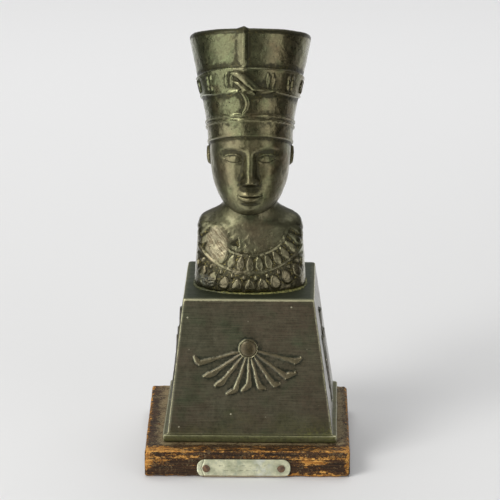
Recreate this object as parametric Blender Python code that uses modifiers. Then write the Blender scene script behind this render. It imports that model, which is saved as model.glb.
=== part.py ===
# Bust of an Egyptian queen in a tall flat-topped crown, cast in metal, on a tapered pedestal.
# The pedestal stands on a square wooden base that carries a small name plate held by two nails.
# Units are metres, +Z is up and the front faces -Y. The origin is the centre of the base's underside.

import math

import bmesh
import bpy
import numpy as np
from mathutils import Matrix, Vector

MM = 0.001

# Wooden base
BASE_WIDTH = 72.0 * MM
BASE_DEPTH = 72.0 * MM
BASE_THICKNESS = 9.4 * MM
BASE_EDGE_RADIUS = 1.0 * MM
BASE_CORNER_RADIUS = 1.8 * MM

# Pedestal: a low foot, then four sloping faces up to a square top
PEDESTAL_HEIGHT = 50.6 * MM
PEDESTAL_TOP_WIDTH = 44.7 * MM
PEDESTAL_BOTTOM_WIDTH = 57.4 * MM
PEDESTAL_EDGE_RADIUS = 0.7 * MM
FOOT_WIDTH = 61.0 * MM
FOOT_HEIGHT = 2.4 * MM
FOOT_EDGE_RADIUS = 0.5 * MM
PEDESTAL_X = 1.2 * MM
PEDESTAL_Y = 3.4 * MM
PEDESTAL_TURN = math.radians(-0.8)

# Sun disc with rays, raised on the front face. Each ray has the angle and length of its bar, then of its
# foot, in degrees and metres: the ornament is cast from a hand-made model, so no two are alike.
DISC_X = -0.6 * MM
DISC_RADIUS = 3.3 * MM
DISC_RISE = 1.1 * MM
DISC_BELOW_TOP = 17.6 * MM
DISC_STEPS = 24
RAYS = (
    (197.0, 18.2 * MM, 126.0, 2.7 * MM),
    (215.0, 15.7 * MM, 197.0, 3.1 * MM),
    (232.0, 15.4 * MM, 204.0, 2.5 * MM),
    (252.5, 15.5 * MM, 203.0, 3.3 * MM),
    (270.5, 13.0 * MM, 219.0, 3.3 * MM),
    (285.0, 14.2 * MM, 349.0, 2.1 * MM),
    (304.3, 15.3 * MM, 3.0, 2.3 * MM),
    (323.0, 16.1 * MM, 18.0, 3.7 * MM),
    (344.5, 16.6 * MM, 28.0, 2.7 * MM),
)
RAY_RADIUS = 1.1 * MM
RAY_START = 2.4 * MM
RAY_RISE = 0.55 * MM

# Papyrus clump, raised on the left and right faces: three stems, each with a bell-shaped head
STEM_RADIUS = 0.9 * MM
STEM_RISE = 0.6 * MM
STEM_SPACING = 2.4 * MM
CLUMP_HEIGHT = 34.0 * MM
SIDE_STEM_HEIGHT = 25.0 * MM
CLUMP_ABOVE_FOOT = 4.0 * MM
CLUMP_SPREAD = 6.0 * MM
HEAD_LENGTH = 7.0 * MM
HEAD_HALF_WIDTH = 2.8 * MM
HEAD_RISE = 1.0 * MM
HEAD_OVERLAP = 0.5 * MM
HEAD_STEPS = 16

# Bust: every proportion and all its carving are shares of its own height
BUST_HEIGHT = 95.5 * MM
BUST_X = 0.9 * MM
BUST_Y = 0.0 * MM
BUST_TRIANGLES = 6800
BUST_ROWS = 320
BUST_COLUMNS = 320

# Name plate and its nails
PLATE_LENGTH = 32.7 * MM
PLATE_HEIGHT = 6.4 * MM
PLATE_THICKNESS = 0.5 * MM
PLATE_CORNER_RADIUS = 2.8 * MM
PLATE_X = -1.3 * MM
PLATE_ABOVE_UNDERSIDE = 0.2 * MM
NAIL_INSET = 3.2 * MM
NAIL_HEAD_RADIUS = 1.35 * MM
NAIL_HEAD_RISE = 0.6 * MM
NAIL_SHANK_RADIUS = 0.55 * MM
NAIL_LENGTH = 8.0 * MM
NAIL_STEPS = 16

# Room left between pieces that touch, and between a nail and its hole
GAP = 0.3 * MM
NAIL_CLEARANCE = 0.3 * MM
MERGE = 0.00001

# The bust's sections, from the bottom up, in hundredths of its height. The columns are: centre height,
# centre y, tilt in degrees (front edge raised), half width, depth to the front, depth to the back,
# squareness, and half width of the flat cut at the sides.
NO_CUT = 60.0
SECTIONS = (
    (0.0, 0.5, 0.0, 21.5, 14.4, 15.0, 2.0, 20.8),
    (0.8, 0.5, 0.0, 22.2, 14.9, 15.5, 2.0, 21.2),
    (5.5, 0.5, 0.0, 22.2, 14.9, 15.6, 2.0, 21.0),
    (10.5, 0.6, 0.0, 21.8, 14.1, 15.6, 2.05, 20.6),
    (14.5, 0.8, 0.0, 21.5, 12.4, 15.2, 2.1, 20.3),
    (18.0, 1.0, -1.0, 21.2, 10.9, 14.4, 2.1, 20.0),
    (21.4, 1.1, -3.5, 20.9, 9.6, 13.0, 2.1, 19.8),
    (23.7, 1.1, -7.0, 20.2, 8.95, 11.6, 2.05, 19.6),
    (25.1, 1.0, -10.0, 18.2, 8.6, 10.6, 1.95, 19.8),
    (26.1, 0.9, -13.0, 15.6, 8.35, 9.9, 1.9, 24.0),
    (27.3, 0.9, -16.0, 12.9, 8.15, 9.4, 1.9, 40.0),
    (28.9, 0.9, -19.0, 10.7, 7.9, 9.3, 1.95, NO_CUT),
    (31.0, 0.9, -22.5, 9.5, 7.65, 9.4, 2.0, NO_CUT),
    (34.4, 0.9, -28.0, 9.2, 7.45, 9.4, 2.1, NO_CUT),
    (35.9, 0.6, -32.0, 9.5, 8.2, 9.6, 2.1, NO_CUT),
    (36.4, 0.5, -33.5, 10.6, 12.2, 9.9, 2.0, NO_CUT),
    (37.2, 0.5, -33.5, 11.9, 14.9, 10.4, 1.95, NO_CUT),
    (38.8, 0.5, -31.0, 12.9, 16.2, 11.1, 1.95, NO_CUT),
    (41.6, 0.5, -25.0, 13.8, 16.7, 11.9, 2.05, NO_CUT),
    (45.5, 0.5, -16.0, 14.5, 16.2, 13.0, 2.2, NO_CUT),
    (50.0, 0.5, -4.0, 14.9, 15.6, 14.2, 2.2, NO_CUT),
    (54.5, 0.5, 2.5, 15.0, 15.8, 15.3, 2.2, NO_CUT),
    (58.3, 0.6, 5.5, 15.2, 16.2, 16.0, 2.15, NO_CUT),
    (63.5, 1.4, 8.5, 15.8, 16.7, 16.5, 2.1, NO_CUT),
    (70.0, 3.0, 12.0, 17.1, 17.5, 17.3, 2.0, NO_CUT),
    (76.0, 4.8, 15.5, 18.5, 18.4, 18.3, 2.0, NO_CUT),
    (82.0, 7.0, 18.0, 19.9, 19.3, 19.5, 2.0, NO_CUT),
    (88.8, 9.7, 19.4, 21.4, 20.3, 20.8, 2.0, NO_CUT),
    (90.5, 10.3, 19.6, 21.7, 20.5, 21.1, 2.0, NO_CUT),
    (91.2, 10.5, 19.6, 21.0, 19.8, 20.4, 2.0, NO_CUT),
)
CUT_SHARPNESS = 14.0

# Heights on the face, by the usual thirds and halves of a head, in hundredths of the bust's height
CHIN = 28.7
HEAD = 44.0
EYE_LINE = CHIN + HEAD / 2
THIRD = HEAD / 3.5
NOSE_BASE = CHIN + THIRD
BROW_LINE = CHIN + 2 * THIRD
MOUTH_LINE = NOSE_BASE - THIRD / 3
EYE_X = 6.1
EYE_HALF_WIDTH = 3.5
MOUTH_HALF_WIDTH = 4.5
EAR_Y = 3.4
EAR_HEIGHT = 48.2
EAR_HALF_HEIGHT = 3.7

# Crown, in hundredths of the bust's height
CROWN_EDGE = 59.9
CROWN_SIDE_DROP = 7.0
CROWN_THICKNESS = 0.6
NAPE_DROP = 7.0
CORD_HEIGHTS = (6.1, 7.9)
RIBBON_LOW = 72.0
RIBBON_HIGH = 79.3
RIBBON_RISE = 0.5
RIBBON_SIDE_DROP = 2.4
RIBBON_SWAY = 0.35
KEEL_X = -2.0
KEEL_LEFT = 3.0
KEEL_RIGHT = 1.6
KEEL_RISE = 1.5
PLAQUE_ANGLES = (20.0, 26.0, 47.0, 53.0, 74.0, 80.0, 101.0, 107.0, 128.0, 134.0, 155.0, 161.0)

# Serpent on the crown's front, as points x, z and half width
SERPENT_RISE = 0.85
SERPENT_BODY = (
    (-6.0, 82.6, 0.7),
    (-4.2, 82.1, 1.2),
    (-2.2, 81.0, 1.5),
    (-0.4, 79.4, 1.5),
    (1.4, 77.8, 1.3),
    (3.4, 76.6, 1.1),
    (5.6, 76.0, 0.9),
    (8.2, 75.8, 0.6),
)
SERPENT_NECK = ((-5.4, 79.6, 0.4), (-3.8, 78.9, 0.9), (-2.2, 77.7, 1.1), (-0.6, 76.2, 1.1), (1.4, 75.4, 0.6))
SERPENT_TAIL = (
    (-3.2, 76.2, 0.7),
    (-1.9, 74.9, 1.0),
    (-1.1, 73.4, 1.1),
    (-0.8, 71.8, 1.1),
    (-1.2, 70.2, 1.0),
    (-2.4, 68.6, 0.6),
)

# Broad collar: distances from a point inside the neck, and the number of petals all the way round
COLLAR_CENTRE = (0.0, 0.0, 22.9)
COLLAR_FACING = math.radians(40.0)
COLLAR_PETALS = 32
INNER_CORD = 15.1
OUTER_CORD = 20.9
INNER_PETALS = 18.0
OUTER_PETALS = 25.1
COLLAR_SIDE_LIMIT = 18.9
COLLAR_BACK = 4.5
COLLAR_TOP = 23.2
BEADS = 22.6
BEAD_RADIUS = 0.75


def clear_scene():
    for obj in list(bpy.data.objects):
        bpy.data.objects.remove(obj)


def new_collection(name, hidden=False):
    collection = bpy.data.collections.new(name)
    bpy.context.scene.collection.children.link(collection)
    collection.hide_render = hidden
    return collection


def material(name, color, roughness, metallic):
    made = bpy.data.materials.new(name)
    made.use_nodes = True
    shader = made.node_tree.nodes["Principled BSDF"]
    shader.inputs["Base Color"].default_value = (*color, 1.0)
    shader.inputs["Roughness"].default_value = roughness
    shader.inputs["Metallic"].default_value = metallic
    return made


def add_object(name, mesh, collection, finish=None):
    obj = bpy.data.objects.new(name, mesh)
    collection.objects.link(obj)
    if finish:
        mesh.materials.append(finish)
    return obj


def add_helper(name, mesh, collection):
    obj = add_object(name, mesh, collection)
    obj.hide_render = True
    obj.display_type = "WIRE"
    return obj


def mesh_from_bmesh(name, bm):
    bmesh.ops.recalc_face_normals(bm, faces=bm.faces)
    mesh = bpy.data.meshes.new(name)
    bm.to_mesh(mesh)
    bm.free()
    return mesh


def smooth_shading(mesh, angle=math.radians(40)):
    mesh.shade_smooth()
    mesh.set_sharp_from_angle(angle=angle)


def bevel(obj, width, segments, angle=math.radians(30)):
    modifier = obj.modifiers.new("rounded edges", "BEVEL")
    modifier.width = width
    modifier.segments = segments
    modifier.limit_method = "ANGLE"
    modifier.angle_limit = angle


def boolean(obj, other, operation):
    modifier = obj.modifiers.new(f"{operation.lower()} {other.name}", "BOOLEAN")
    modifier.operation = operation
    modifier.object = other
    modifier.solver = "EXACT"


def tapered_block(name, bottom, top, height):
    """A block from z = 0 up, with (width, depth) below and above."""
    bm = bmesh.new()
    bmesh.ops.create_cube(bm, size=1.0)
    for vertex in bm.verts:
        width, depth = top if vertex.co.z > 0 else bottom
        vertex.co.x *= width
        vertex.co.y *= depth
        vertex.co.z = (vertex.co.z + 0.5) * height
    return mesh_from_bmesh(name, bm)


def turned(name, profile, steps, collection, finish=None):
    """A turned shape about Z from (radius, height) points that run from top to bottom."""
    mesh = bpy.data.meshes.new(name)
    points = [(radius, 0.0, height) for radius, height in profile]
    mesh.from_pydata(points, [(i, i + 1) for i in range(len(points) - 1)], [])
    obj = add_object(name, mesh, collection, finish)
    screw = obj.modifiers.new("turned", "SCREW")
    screw.steps = steps
    screw.render_steps = steps
    screw.use_merge_vertices = True
    screw.merge_threshold = MERGE
    return obj


def turned_helper(name, profile, steps, collection):
    tool = turned(name, profile, steps, collection)
    tool.hide_render = True
    tool.display_type = "WIRE"
    return tool


def tube(name, points, radii, collection):
    """A tube of varying radius along points, as a helper mesh."""
    data = bpy.data.curves.new(name, "CURVE")
    data.dimensions = "3D"
    data.bevel_depth = 1.0
    data.bevel_resolution = 2
    data.use_fill_caps = True
    spline = data.splines.new("POLY")
    spline.points.add(len(points) - 1)
    for slot, point, radius in zip(spline.points, points, radii):
        slot.co = (*point, 1.0)
        slot.radius = radius
    curve = bpy.data.objects.new(name, data)
    collection.objects.link(curve)
    bpy.context.view_layer.update()
    evaluated = curve.evaluated_get(bpy.context.evaluated_depsgraph_get())
    mesh = bpy.data.meshes.new_from_object(evaluated)
    bpy.data.objects.remove(curve)
    bm = bmesh.new()
    bm.from_mesh(mesh)
    bmesh.ops.remove_doubles(bm, verts=bm.verts, dist=MERGE)
    return add_helper(name, mesh_from_bmesh(name, bm), collection)


def smoothstep(low, high, value):
    share = np.clip((value - low) / (high - low), 0.0, 1.0)
    return share * share * (3.0 - 2.0 * share)


def hill(x, z, centre_x, centre_z, reach_x, reach_z):
    return np.exp(-(((x - centre_x) / reach_x) ** 2) - ((z - centre_z) / reach_z) ** 2)


def ridge(distance, width):
    return np.exp(-((distance / width) ** 2))


def along_path(x, z, path):
    """Distance from each x, z to a line through the points of path, and the share of it passed there."""
    nearest = np.full(x.shape, np.inf)
    passed = np.zeros(x.shape)
    for index, ((ax, az), (bx, bz)) in enumerate(zip(path[:-1], path[1:])):
        dx, dz = bx - ax, bz - az
        share = np.clip(((x - ax) * dx + (z - az) * dz) / (dx * dx + dz * dz), 0.0, 1.0)
        distance = np.hypot(x - ax - share * dx, z - az - share * dz)
        passed = np.where(distance < nearest, (index + share) / (len(path) - 1), passed)
        nearest = np.minimum(nearest, distance)
    return nearest, passed


def sections_at(place):
    """The section table at fractional rows, through a Catmull-Rom curve in each column."""
    table = np.array(SECTIONS)
    first = np.clip(np.floor(place).astype(int), 0, len(table) - 2)
    share = (place - first)[:, None]
    before = table[np.maximum(first - 1, 0)]
    start = table[first]
    end = table[first + 1]
    after = table[np.minimum(first + 2, len(table) - 1)]
    return 0.5 * (
        2 * start
        + (end - before) * share
        + (2 * before - 5 * start + 4 * end - after) * share**2
        + (3 * start - before - 3 * end + after) * share**3
    )


def rows_up_the_bust(count):
    """Fractional section rows, evenly spaced along the front and side outlines taken together."""
    fine = np.linspace(0, len(SECTIONS) - 1, 3000)
    height, centre_y, tilt, half_width, front = sections_at(fine).T[:5]
    tilt = np.radians(tilt)
    front_line = np.column_stack([centre_y - front * np.cos(tilt), height + front * np.sin(tilt)])
    side_line = np.column_stack([half_width, height])
    steps = np.linalg.norm(np.diff(front_line, axis=0), axis=1)
    steps += 0.5 * np.linalg.norm(np.diff(side_line, axis=0), axis=1)
    travelled = np.concatenate([[0.0], np.cumsum(steps)])
    return np.interp(np.linspace(0, travelled[-1], count), travelled, fine)


def columns_round_the_bust(count):
    """Angles about the section centre, 0 at the front, closer together there."""
    even = np.linspace(-1.0, 1.0, count, endpoint=False)
    return math.pi * (0.6 * even + 0.4 * even**3)


def plain_surface(place, angle):
    """The bust without its carving: x, y, z for each row and each angle."""
    columns = [column[:, None] for column in sections_at(place).T]
    height, centre_y, tilt, half_width, front, back, squareness, cut = columns
    sine, cosine = np.sin(angle)[None, :], np.cos(angle)[None, :]
    depth = np.where(cosine > 0, front, back)
    curve = (np.abs(sine) / half_width) ** squareness + (np.abs(cosine) / depth) ** squareness
    radius = curve ** (-1.0 / squareness)
    flat = cut / np.maximum(np.abs(sine), 1e-6)
    radius = (radius**-CUT_SHARPNESS + flat**-CUT_SHARPNESS) ** (-1.0 / CUT_SHARPNESS)
    forward = radius * cosine
    tilt = np.radians(tilt)
    return np.stack(
        [radius * sine, centre_y - forward * np.cos(tilt), height + forward * np.sin(tilt)], axis=-1
    )


def outward(surface):
    """Unit normals of a surface that is closed along its second axis."""
    along = np.gradient(surface, axis=0)
    around = np.roll(surface, -1, axis=1) - np.roll(surface, 1, axis=1)
    normal = np.cross(around, along)
    return normal / np.linalg.norm(normal, axis=-1, keepdims=True)


def nose(x, z):
    tip = NOSE_BASE + 2.0
    root = BROW_LINE - 1.0
    down = np.clip((root - z) / (root - tip), 0.0, 1.0)
    rise = (0.7 + 2.9 * down**1.2) * smoothstep(NOSE_BASE - 1.0, tip, z)
    rise = rise * (1.0 - smoothstep(root - 2.5, root + 3.5, z))
    width = 1.7 + 0.6 * down
    bridge = rise * np.exp(-np.abs(x / width) ** 2.6)
    ball = 0.6 * hill(x, z, 0.0, NOSE_BASE + 2.0, 1.9, 1.6)
    return bridge + ball + 1.35 * hill(np.abs(x), z, 2.15, NOSE_BASE + 1.2, 1.05, 1.2)


def mouth(x, z):
    across = np.abs(x) / MOUTH_HALF_WIDTH
    inside = np.clip(1.0 - across**2, 0.0, 1.0)
    bow = 0.85 - 0.35 * across**2 - 0.2 * ridge(x, 0.9)
    upper = 0.7 * ridge(z - (MOUTH_LINE + bow), 0.8) * inside**0.7
    lower = 0.9 * ridge(z - (MOUTH_LINE - 1.05 + 0.5 * across**2), 0.95) * inside**0.8
    line = 0.55 * ridge(z - MOUTH_LINE - 0.15 * across**2, 0.3) * smoothstep(1.2, 0.7, across)
    mound = 1.3 * hill(x, z, 0.0, MOUTH_LINE, 6.2, 4.4)
    philtrum = 0.2 * hill(x, z, 0.0, MOUTH_LINE + 2.7, 0.7, 0.9)
    return mound + upper + lower - line - philtrum


def eyes(x, z):
    side = np.abs(x)
    up = z - EYE_LINE
    across = (side - EYE_X) / EYE_HALF_WIDTH
    share = np.clip(1.0 - across**2, 0.0, 1.0)
    opening = np.where(up > 0, 1.55, 1.05) * share**0.8
    ball = 1.15 * hill(side, z, EYE_X, EYE_LINE, 3.4, 2.2)
    beyond = np.abs(up) - opening
    lid = 0.28 * smoothstep(-0.12, 0.12, beyond) * smoothstep(1.0, 0.1, beyond)
    lid = lid * smoothstep(-0.02, 0.3, share)
    iris = 0.1 * smoothstep(1.3, 1.1, np.hypot(side - EYE_X, up - 0.25)) * (beyond < 0)
    paint = 0.3 * ridge(up + 0.1, 0.45) * smoothstep(8.9, 9.7, side) * smoothstep(12.2, 11.2, side)
    socket = 1.5 * hill(side, z, 6.1, EYE_LINE + 0.8, 4.6, 3.0)
    socket = socket + 0.6 * hill(side, z, 2.9, EYE_LINE + 0.4, 1.5, 2.2)
    brow_height = BROW_LINE + 0.4 + 1.1 * (1.0 - ((side - 6.2) / 4.8) ** 2)
    brow = 0.4 * ridge(z - brow_height, 0.65)
    brow = brow * smoothstep(1.9, 3.1, side) * smoothstep(11.6, 9.6, side)
    return ball + lid + iris + paint + brow - socket


def face(x, z):
    """How far the face stands forward of the plain head."""
    side = np.abs(x)
    cheeks = 0.9 * hill(side, z, 7.4, EYE_LINE - 5.6, 4.0, 4.2)
    chin = 1.3 * hill(x, z, 0.0, CHIN + 3.5, 4.2, 2.9)
    under_lip = 0.5 * hill(x, z, 0.0, MOUTH_LINE - 3.1, 3.2, 1.1)
    return nose(x, z) + mouth(x, z) + eyes(x, z) + cheeks + chin - under_lip


def ears(y, z):
    """How far the ears stand out sideways."""
    up = z - EAR_HEIGHT
    out = ((y - EAR_Y - 0.16 * up) / 2.5) ** 2 + (up / EAR_HALF_HEIGHT) ** 2
    shell = 1.3 * smoothstep(1.35, 0.65, out)
    hollow = 0.7 * smoothstep(0.55, 0.2, out) * smoothstep(-2.8, -1.4, up)
    return shell - hollow


def crown_edge_height(angle):
    """Height of the crown's lower edge: high over the forehead, lower at the sides and lowest at the nape."""
    drop = NAPE_DROP * smoothstep(math.radians(100.0), math.radians(140.0), np.abs(angle))
    return CROWN_EDGE - CROWN_SIDE_DROP * (1.0 - np.cos(angle)) - drop


def strand(x, z, points):
    """Rise of a rounded strand through points of x, z and half width."""
    path = [(px, pz) for px, pz, half in points]
    distance, passed = along_path(x, z, path)
    half = np.interp(passed, np.linspace(0.0, 1.0, len(points)), [half for px, pz, half in points])
    return np.sqrt(np.clip(1.0 - (distance / half) ** 2, 0.0, 1.0)) * (0.55 + 0.45 * half)


def crown(x, z, height, angle):
    above = z - crown_edge_height(angle)
    over_brow = smoothstep(math.radians(112.0), math.radians(96.0), np.abs(angle))
    rise = CROWN_THICKNESS * smoothstep(-0.35, 0.35, above) + 0.3 * over_brow * ridge(above - 0.7, 0.5)
    for cord in CORD_HEIGHTS:
        rise = rise + 0.45 * over_brow * ridge(above - cord, 0.45)
    drop = RIBBON_SIDE_DROP * (1.0 - np.cos(angle))
    sway = RIBBON_SWAY * np.sin(4.0 * angle + 0.6)
    low, high = height - RIBBON_LOW + drop - sway, height - RIBBON_HIGH + drop + 0.6 * sway
    rise = rise + RIBBON_RISE * smoothstep(-0.3, 0.3, low) * smoothstep(0.3, -0.3, high)
    rise = rise + 0.3 * (ridge(low - 0.4, 0.4) + ridge(high + 0.4, 0.4))
    middle = 0.5 * (low + high)
    for plaque in PLAQUE_ANGLES:
        sideways = (np.degrees(np.abs(angle)) - plaque) / 1.9
        rise = rise + 0.45 * smoothstep(1.2, 0.6, sideways**2 + (middle / 2.3) ** 2)
    flank = np.where(x < KEEL_X, KEEL_LEFT, KEEL_RIGHT)
    keel = KEEL_RISE * np.clip(1.0 - np.hypot(x - KEEL_X, 0.15) / flank, 0.0, 1.0) ** 1.2
    keel = keel * (1.0 - 0.3 * smoothstep(89.6, 91.0, height))
    keel = keel * smoothstep(RIBBON_HIGH - 3.0, RIBBON_HIGH + 3.0, height)
    serpent = np.maximum(strand(x, z, SERPENT_BODY), strand(x, z, SERPENT_NECK))
    serpent = SERPENT_RISE * np.maximum(serpent, strand(x, z, SERPENT_TAIL))
    return rise + np.where(np.cos(angle) > 0.2, keel + serpent, 0.0)


def petal(across, along, half_width, half_length):
    """A rounded drop, wider at its outer end."""
    width = half_width * (1.0 + 0.2 * along / half_length)
    inside = 1.0 - (across / width) ** 2 - (along / half_length) ** 2
    return smoothstep(0.0, 0.42, inside) * (0.8 + 0.2 * np.clip(inside, 0.0, 1.0))


def collar(x, y, z):
    """Two cords, two rows of petals and a row of beads, spread round the neck."""
    out_y, out_z = y - COLLAR_CENTRE[1], z - COLLAR_CENTRE[2]
    distance = np.sqrt(x**2 + out_y**2 + out_z**2)
    facing = -out_y * math.sin(COLLAR_FACING) - out_z * math.cos(COLLAR_FACING)
    turn = np.arctan2(x, facing) * COLLAR_PETALS / (2 * math.pi)
    index = np.round(turn)
    uneven = np.sin(index * 12.9) * 0.12
    swing = (turn - index + 0.5 * uneven) / COLLAR_PETALS * 2 * math.pi
    inner = INNER_PETALS + 1.5 * uneven
    outer = OUTER_PETALS - 2.0 * uneven
    drops = (0.5 + uneven) * petal(swing * inner, distance - inner, 1.4, 2.45)
    drops = drops + (0.62 - uneven) * petal(swing * outer, distance - outer, 1.95, 2.25 + uneven)
    half_turn = (turn - np.floor(turn) - 0.5) / COLLAR_PETALS * 2 * math.pi
    bead = ((half_turn * BEADS) ** 2 + (distance - BEADS) ** 2) / BEAD_RADIUS**2
    drops = drops + 0.6 * np.sqrt(np.clip(1.0 - bead, 0.0, 1.0))
    rise = 0.42 * ridge(distance - INNER_CORD, 0.4) + 0.5 * ridge(distance - OUTER_CORD, 0.42)
    rise = rise + drops * smoothstep(COLLAR_BACK, COLLAR_BACK - 2.5, y)
    on_top = smoothstep(COLLAR_SIDE_LIMIT + 0.8, COLLAR_SIDE_LIMIT, np.abs(x))
    below_neck = smoothstep(COLLAR_TOP + 0.8, COLLAR_TOP - 2.4, z) * smoothstep(0.6, 1.6, z)
    return rise * on_top * below_neck * smoothstep(13.4, 14.2, distance)


def carved_surface(rows, columns):
    """The bust's surface with all its carving, in hundredths of its height."""
    place = rows_up_the_bust(rows)
    angle = columns_round_the_bust(columns)
    surface = plain_surface(place, angle)
    normal = outward(surface)
    x, y, z = np.moveaxis(surface, -1, 0)
    height = sections_at(place)[:, :1]
    angle = np.broadcast_to(angle[None, :], x.shape)
    over_neck = smoothstep(33.5, 35.5, height)
    below_crown = smoothstep(0.3, -0.3, z - crown_edge_height(angle))
    rise = crown(x, z, height, angle) * smoothstep(36.0, 38.0, height)
    rise = rise + collar(x, y, z) * (height < 33.0)
    surface = surface + rise[..., None] * normal
    surface[..., 1] -= face(x, z) * over_neck * below_crown * smoothstep(0.05, 0.5, np.cos(angle))
    surface[..., 0] += ears(y, z) * below_crown * over_neck * np.sign(x) * smoothstep(9.0, 12.0, np.abs(x))
    return surface


def surface_mesh(name, surface):
    """A closed mesh from a grid of points that is closed along its second axis, capped at both ends."""
    rows, columns = surface.shape[:2]
    vertices = surface.reshape(-1, 3).tolist()
    vertices += [surface[0].mean(axis=0).tolist(), surface[-1].mean(axis=0).tolist()]
    below, above = rows * columns, rows * columns + 1
    faces = []
    for column in range(columns):
        following = (column + 1) % columns
        for row in range(rows - 1):
            low, high = row * columns, (row + 1) * columns
            faces.append((low + column, low + following, high + following, high + column))
        top = (rows - 1) * columns
        faces.append((below, following, column))
        faces.append((above, top + column, top + following))
    mesh = bpy.data.meshes.new(name)
    mesh.from_pydata(vertices, [], faces)
    mesh.update()
    return mesh


def make_bust(collection, finish):
    unit = BUST_HEIGHT / 100.0
    surface = carved_surface(BUST_ROWS, BUST_COLUMNS) * unit
    mesh = surface_mesh("bust", surface)
    bust = add_object("bust", mesh, collection, finish)
    bust.location = (BUST_X, BUST_Y, BASE_THICKNESS + PEDESTAL_HEIGHT + 2 * GAP)
    triangles = 2 * BUST_ROWS * BUST_COLUMNS
    fewer = bust.modifiers.new("fewer faces", "DECIMATE")
    fewer.ratio = BUST_TRIANGLES / triangles
    smooth_shading(mesh)
    return bust


def face_slope(from_width, to_width, height):
    """How far a pedestal face leans back from upright, in radians."""
    return math.atan2((from_width - to_width) / 2, height)


def pedestal_face_matrix(turn, up_from_foot, aside=0.0):
    """Places a flat drawing (x right, y up, z out) on one pedestal face.

    Its origin is up_from_foot above the foot, and aside from the face's middle.
    """
    rise = PEDESTAL_HEIGHT - FOOT_HEIGHT
    lean = face_slope(PEDESTAL_BOTTOM_WIDTH, PEDESTAL_TOP_WIDTH, rise)
    out = PEDESTAL_BOTTOM_WIDTH / 2 - up_from_foot * math.tan(lean)
    stand = Matrix.Rotation(math.pi / 2 - lean, 4, "X")
    place = Matrix.Translation((aside, -out, FOOT_HEIGHT + up_from_foot))
    return Matrix.Rotation(turn, 4, "Z") @ place @ stand


def ray_stroke(angle, length, foot_angle, foot_length):
    """Points and radii of one sun ray: a bar that widens away from the disc, then a foot to one side."""
    along = Vector((math.cos(math.radians(angle)), math.sin(math.radians(angle)), 0.0))
    foot = Vector((math.cos(math.radians(foot_angle)), math.sin(math.radians(foot_angle)), 0.0))
    path = []
    for share in (0.0, 0.35, 0.7, 1.0):
        path.append((along * (RAY_START + share * (length - RAY_START)), RAY_RADIUS * (0.4 + 0.6 * share)))
    path.append((along * length + foot * 0.55 * foot_length, 0.75 * RAY_RADIUS))
    path.append((along * length + foot * foot_length, 0.45 * RAY_RADIUS))
    points = [(point.x, point.y, RAY_RISE - radius) for point, radius in path]
    return points, [radius for point, radius in path]


def sun_disc(collection):
    """A low dome with a raised rim, sunk into the face."""
    sunk = DISC_RADIUS / 2
    profile = [
        (0.0, DISC_RISE),
        (0.45 * DISC_RADIUS, 0.9 * DISC_RISE),
        (0.75 * DISC_RADIUS, 0.55 * DISC_RISE),
        (0.87 * DISC_RADIUS, 0.7 * DISC_RISE),
        (DISC_RADIUS, 0.25 * DISC_RISE),
        (DISC_RADIUS, -sunk),
        (0.0, -sunk),
    ]
    return turned_helper("sun disc tool", profile, DISC_STEPS, collection)


def papyrus_stem(side, height):
    """Points of one stem, flat on x and y, from the clump's foot to the stem's top."""
    stem = height - HEAD_LENGTH
    points = []
    for share in (0.0, 0.25, 0.5, 0.75, 1.0):
        reach = (share * stem / height) ** 1.5
        across = side * (STEM_SPACING + (CLUMP_SPREAD - STEM_SPACING) * reach)
        points.append((across, share * stem, STEM_RISE - STEM_RADIUS))
    return points


def papyrus_head(name, across, up, collection):
    """A flattened bell that widens upward from the top of its stem."""
    bm = bmesh.new()
    length = HEAD_LENGTH + HEAD_OVERLAP
    middle = Matrix.Translation((across, up - HEAD_OVERLAP + length / 2, 0.0))
    upright = Matrix.Rotation(-math.pi / 2, 4, "X")
    flat = Matrix.Diagonal((1.0, 1.0, HEAD_RISE / HEAD_HALF_WIDTH, 1.0))
    bmesh.ops.create_cone(
        bm,
        cap_ends=True,
        segments=HEAD_STEPS,
        radius1=STEM_RADIUS,
        radius2=HEAD_HALF_WIDTH,
        depth=length,
        matrix=flat @ middle @ upright,
    )
    return add_helper(name, mesh_from_bmesh(name, bm), collection)


def raise_on_face(pedestal, tool, matrix):
    tool.parent = pedestal
    tool.matrix_local = matrix
    boolean(pedestal, tool, "UNION")


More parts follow.
